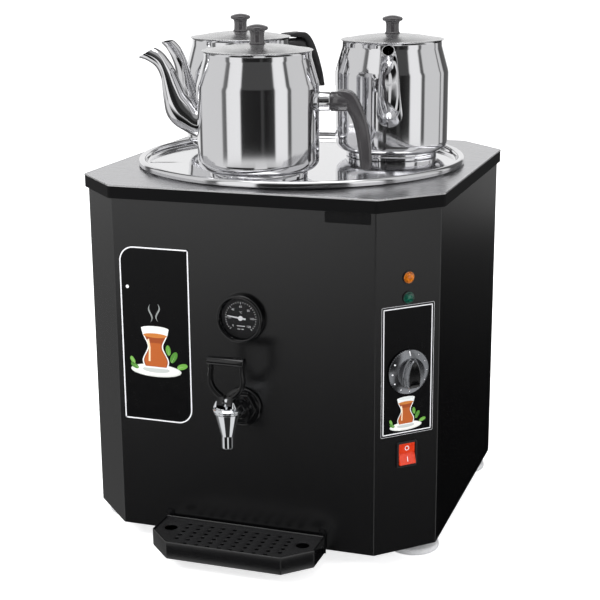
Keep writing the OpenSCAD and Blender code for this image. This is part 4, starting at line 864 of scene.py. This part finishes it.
# ---- drip tray
def drip_plan(g, n=5):
    """Plan of the tray from behind left, drawn in by g: x along the panel, y away from it."""
    w, f, b, c = DRIP_W - g, DRIP_REACH - g, DRIP_BACK + g, DRIP_CUT - g * (2 - math.sqrt(2))
    out = [(w, -b), (-w, -b), (-w, c - f), (c - w, -f), (w - c, -f), (w, c - f)]
    return eased(out, max(2 - g, 0.5), n, closed=True)


def drip_tray():
    """Rings of the plan: the outer wall, a rolled edge 1.8 mm wide, the ledge that carries the grid, and
    the well."""
    levels = [(6, 15.0), (1.4, 15.0), (0.4, 15.4), (0, 16.4), (0, 34.8), (0.12, 35.4), (0.45, 35.85),
              (0.9, 36), (1.35, 35.85), (1.68, 35.4), (1.8, 34.8), (1.8, 32.5), (3.2, 32.5), (3.2, 17.2),
              (4.2, 16.2), (8, 16.2)]
    piece("pressed_drip_tray", [capped([at_z(drip_plan(g), z) for g, z in levels])], "drip_tray", rubbed_coat,
          FRONT_FOOT, "drip_tray", 40)


def drip_grid():
    """Sheet over the plan with the holes cut as loops that share its two faces; the edge of each hole is
    drawn down by half a millimetre, as a punch leaves it."""
    rows, columns = [15.9 + 9.8 * i for i in range(6)], [(i - 4.5) * 13.7 for i in range(10)]
    holes = [(x, -y, 2.6) for y in rows for x in columns if abs(x) + y < DRIP_W + DRIP_REACH - DRIP_CUT - 14]
    holes += [(s * 79.5, -30, 7.5) for s in (-1, 1)]
    upper, lower, outline, bm = 34.0, 32.8, drip_plan(2), bmesh.new()
    for z, grow in ((upper, 0.35), (lower, 0.0)):
        edges = []
        for loop in [outline] + [circle(x, y, r + grow, 32) for x, y, r in holes]:
            vs = [bm.verts.new((x, y, z)) for x, y in loop]
            edges += [bm.edges.new((vs[i - 1], vs[i])) for i in range(len(vs))]
        bmesh.ops.triangle_fill(bm, use_beauty=True, use_dissolve=False, edges=edges)
    bm.verts.index_update()
    pts = np.array([v.co[:] for v in bm.verts])
    faces = [tuple(v.index for v in f.verts) for f in bm.faces]
    bm.free()
    walls = [np.array([at_z(outline, z) for z in (upper, lower)])]
    drawn = ((0.35, upper), (0.08, 33.85), (0.0, 33.5), (0.0, lower))
    walls += [np.array([at_z(circle(x, y, r + g, 32), z) for g, z in drawn]) for x, y, r in holes]
    piece("punched_drip_grid", [(pts, faces)] + walls, "drip_grid", lighter_grid_coat, FRONT_FOOT, "drip_grid", 30)


# ---- feet, gland and plate edge
def feet():
    """Lathe: a flat pad, a flange with a soft edge, and a waist that runs up to the casing."""
    foot = path([[0, 0], [27.6, 0]], arc(28, 2, 2, -78, 0, 4), arc(26, 3.5, 4, 0, 66, 7),
                flowing([(26.6, 7.5), (20, 10.2), (15, 13.6), (13.2, 17)], 5),
                [[13, 18.9], [4.2, 18.9], [4.2, 5], [0, 5]])
    piece("moulded_feet", [turned(foot)], "urn", grey_plastic, FEET, "feet", 45)


def gland():
    """Flange, ribbed dome round the cable's bore, and the nut inside the casing."""
    dome = path([[4.5, 17], [4.5, -12], [8, -12], [8, 0.05], [9.5, 4.4], [9.5, 13]],
                arc(6.5, 14, 3, 10, 90, 6), [[4.5, 17]])
    plan = hexagon(11, 1.2, 3)
    parts = [slab(plan, 0.05, 4.6, 0.7), knurled(turned(dome), 12, 0.22, 9.2), slab(plan, -6, -1, 0.4)]
    piece("black_cable_gland", parts, "urn", black_nylon, on_panel(180, FACE, GLAND_X, GLAND_RISE),
          "cable_gland")


def plate_edge():
    """Band round the top plate's cut edge, 1.5 mm high, carried round the octagon of walls and corner
    faces, with its upper edge broken at 45 degrees."""
    h = FACE + OVERHANG
    c = (CHAMFER + OVERHANG) * math.sqrt(2) - h
    plan = eased([(h, -c), (h, c), (c, h), (-c, h), (-h, c), (-h, -c), (-c, -h), (c, -h)], 1.2, closed=True)
    rings = [(0.6, -1.5), (-0.1, -1.5), (-0.15, -1.4), (-0.15, -0.7), (-0.1, -0.6), (0.6, 0.1), (0.7, 0.14),
             (1.3, 0.14), (1.3, -0.9), (0.6, -1.5)]
    band = np.array([at_z(inset(plan, g), z) for g, z in rings])
    piece("bright_plate_edge", [band], "urn", satin_stainless, level_at(0, BODY_Y, TOP_Z),
          crease=20)


plate_edge()
steam_tray()
for number in range(3):
    teapot(number)
tap()
tap_spring()
tap_lever()
tap_rosette()
gauge()
controls()
plates()
drip_tray()
drip_grid()
feet()
gland()


# ---- studio
def look_along(yaw, pitch, roll):
    """Camera axes: forward, then right and up turned by roll about it."""
    y, p, r = (math.radians(v) for v in (yaw, pitch, roll))
    fwd = np.array([-math.sin(y) * math.cos(p), math.cos(y) * math.cos(p), -math.sin(p)])
    right = np.array([math.cos(y), math.sin(y), 0.0])
    up = np.cross(right, fwd)
    return fwd, right * math.cos(r) + up * math.sin(r), up * math.cos(r) - right * math.sin(r)


def lamp(name, place, size, watts):
    """Soft box turned to face the middle of the urn; it lights the object but doesn't show in its mirrors."""
    data = bpy.data.lights.new(name, "AREA")
    data.shape, data.size, data.size_y, data.energy = "RECTANGLE", size[0], size[1], watts
    made = placed(name, data)
    z = np.array(place, float) - [0, 0, 0.3]
    z /= np.linalg.norm(z)
    x = np.cross([0, 0, 1], z)
    x /= np.linalg.norm(x)
    made.matrix_world = Matrix(np.column_stack([x, np.cross(z, x), z]).tolist()).to_4x4()
    made.location = place
    made.visible_glossy = False


fwd, right, up = look_along(18.83, 15.04, -0.42)
eye = bpy.data.cameras.new("camera")
eye.lens, eye.sensor_width = 84.0, 36.0
camera = placed("camera", eye)
camera.matrix_world = Matrix(np.column_stack([right, up, -fwd]).tolist()).to_4x4()
camera.location = (0.5404, -1.5672, 0.7006)
bpy.context.scene.camera = camera
bpy.context.scene.view_settings.view_transform = "Standard"

lamp("key", (-1.6, -1.9, 2.3), (1.3, 1.3), 60)
lamp("fill", (2.4, -1.2, 1.2), (1.2, 1.6), 20)
lamp("top", (0.2, 0.3, 3.0), (1.8, 1.8), 40)


def white_floor():
    """Disc of 14 m, white where nothing shades it: part of its white is its own for the camera, the rest is
    what the light leaves, so the object's shadow shows. Mirrors see the studio in its place."""
    own_white, spokes = 0.7, 48
    mat = finish_of("white_backdrop", "#f4f4f5", roughness=0.9, Specular_IOR_Level=0.0)
    skin = mat.node_tree.nodes["Principled BSDF"]
    skin.inputs["Emission Color"].default_value = (1, 1, 1, 1)
    glow = add(mat, "Math", {0: seen_straight(mat), 1: own_white}, operation="MULTIPLY")
    mat.node_tree.links.new(glow.outputs[0], skin.inputs["Emission Strength"])
    disc = turned([[0, 0], [3000, 0], [6000, 0], [14000, 0]], spokes)
    i, j = (v.ravel() for v in np.meshgrid(np.arange(3) * spokes, np.arange(spokes), indexing="ij"))
    k = (j + 1) % spokes
    mesh = bpy.data.meshes.new("floor")
    quads = coords(i + j, i + spokes + j, i + spokes + k, i + k)
    mesh.from_pydata((disc.reshape(-1, 3) * MM).tolist(), [], quads.tolist())
    mesh.materials.append(mat)
    made = placed("floor", mesh)
    made.visible_glossy = False


def seen_straight(owner):
    """1 for rays of the camera and for those that pass through the glass, otherwise 0."""
    rays = add(owner, "LightPath").outputs
    return add(owner, "Math", {0: rays["Is Camera Ray"], 1: rays["Is Transmission Ray"]},
               operation="MAXIMUM").outputs[0]


def studio():
    """Plain grey light from all round. Mirrors see upright white walls between dark flags, by the bearing
    of the ray, a white ceiling, and below the table's edge a floor that falls off to black. The camera sees
    white."""
    world = bpy.data.worlds.new("studio")
    bpy.context.scene.world = world
    world.use_nodes = True
    world.node_tree.nodes.clear()
    way = add(world, "SeparateXYZ", {0: add(world, "TexCoord").outputs["Generated"]}).outputs
    bearing = add(world, "Math", {0: way["X"], 1: way["Y"]}, operation="ARCTAN2").outputs[0]
    turn = add(world, "MapRange", {"Value": bearing, "From Min": -math.pi, "From Max": math.pi}).outputs[0]
    high = add(world, "MapRange", {"Value": way["Z"], "From Min": -1, "From Max": 1}).outputs[0]

    def ramp(level, *stops):
        """Grey that eases from one stop to the next; a stop is (place, brightness)."""
        node = add(world, "ValToRGB", {"Fac": level})
        line = node.color_ramp
        line.interpolation = "EASE"
        while len(line.elements) < len(stops):
            line.elements.new(0.5)
        for stop, (at, v) in zip(line.elements, stops):
            stop.position, stop.color = at, (v, v, v, 1)
        return node.outputs["Color"]

    def mix(factor, a, b, how="MIX"):
        """Colour a where the factor is 0 and b where it is 1, or both joined as how says."""
        node = add(world, "Mix", {"Factor": factor, "A": a, "B": b}, data_type="RGBA", blend_type=how)
        return node.outputs["Result"]
    walls = ramp(
        turn, (0, 0.02), (0.03, 0.03), (0.04, 1), (0.108, 0.98), (0.118, 0.15), (0.134, 0.2), (0.146, 0.76),
        (0.3, 0.76), (0.315, 0.12), (0.33, 0.12), (0.35, 0.95), (0.505, 0.95), (0.53, 0.14), (0.595, 0.1),
        (0.61, 0.7), (0.628, 0.7), (0.638, 0.14), (0.65, 0.72), (0.76, 0.72), (0.77, 0.12), (0.782, 0.12),
        (0.792, 1), (0.85, 1), (0.862, 0.04), (0.905, 0.015), (0.925, 0.06), (0.932, 0.015), (1, 0.02))
    fall = ramp(high, (0.3, 0.01), (0.34, 0.05), (0.385, 0.5), (0.4, 1))
    side = ramp(turn, (0, 1), (0.1, 1), (0.25, 0.25), (0.36, 0.25), (0.42, 0.04), (0.62, 0.04),
                (0.72, 1), (1, 1))
    strips = ramp(
        turn, (0, 0), (0.115, 0), (0.13, 0.8), (0.22, 0.8), (0.25, 0.2), (0.35, 0.2), (0.38, 0),
        (0.63, 0), (0.65, 0.8), (0.71, 0.8), (0.73, 0), (0.89, 0), (0.905, 0.8), (0.96, 0.8),
        (0.975, 0), (1, 0))
    table = mix(1, fall, side, "MULTIPLY")
    table = mix(1, table, strips, "LIGHTEN")
    cards = ramp(turn, (0, 0.03), (0.045, 0.03), (0.06, 0.9), (0.25, 0.9), (0.28, 0.3), (0.62, 0.3),
                 (0.64, 0.9), (0.83, 0.9), (0.845, 0.03), (1, 0.03))
    steep = ramp(high, (0, 1), (0.15, 1), (0.19, 0))
    table = mix(steep, table, cards)
    below = ramp(high, (0, 1), (0.396, 1), (0.404, 0))
    above = ramp(high, (0.955, 0), (0.975, 1))
    behind = ramp(turn, (0.3, 0), (0.34, 1), (0.52, 1), (0.58, 0))
    lofty = ramp(high, (0.7, 1), (0.75, 0.15), (0.9, 0.15), (0.93, 0.6))
    soffit = ramp(high, (0.56, 0), (0.64, 0.07), (0.74, 0.07), (0.82, 0.4))
    walls = mix(1, walls, soffit, "LIGHTEN")
    walls = mix(behind, walls, lofty, "MULTIPLY")
    room = mix(below, walls, table)
    room = mix(above, room, (3.5, 3.5, 3.5, 1))
    mirrored = add(world, "LightPath").outputs["Is Glossy Ray"]
    lit = mix(mirrored, (0.66, 0.66, 0.67, 1), room)
    seen = mix(seen_straight(world), lit, (1, 1, 1, 1))
    back = add(world, "Background", {"Color": seen, "Strength": 1.0})
    add(world, "OutputWorld", {"Surface": back.outputs[0]})


white_floor()
studio()
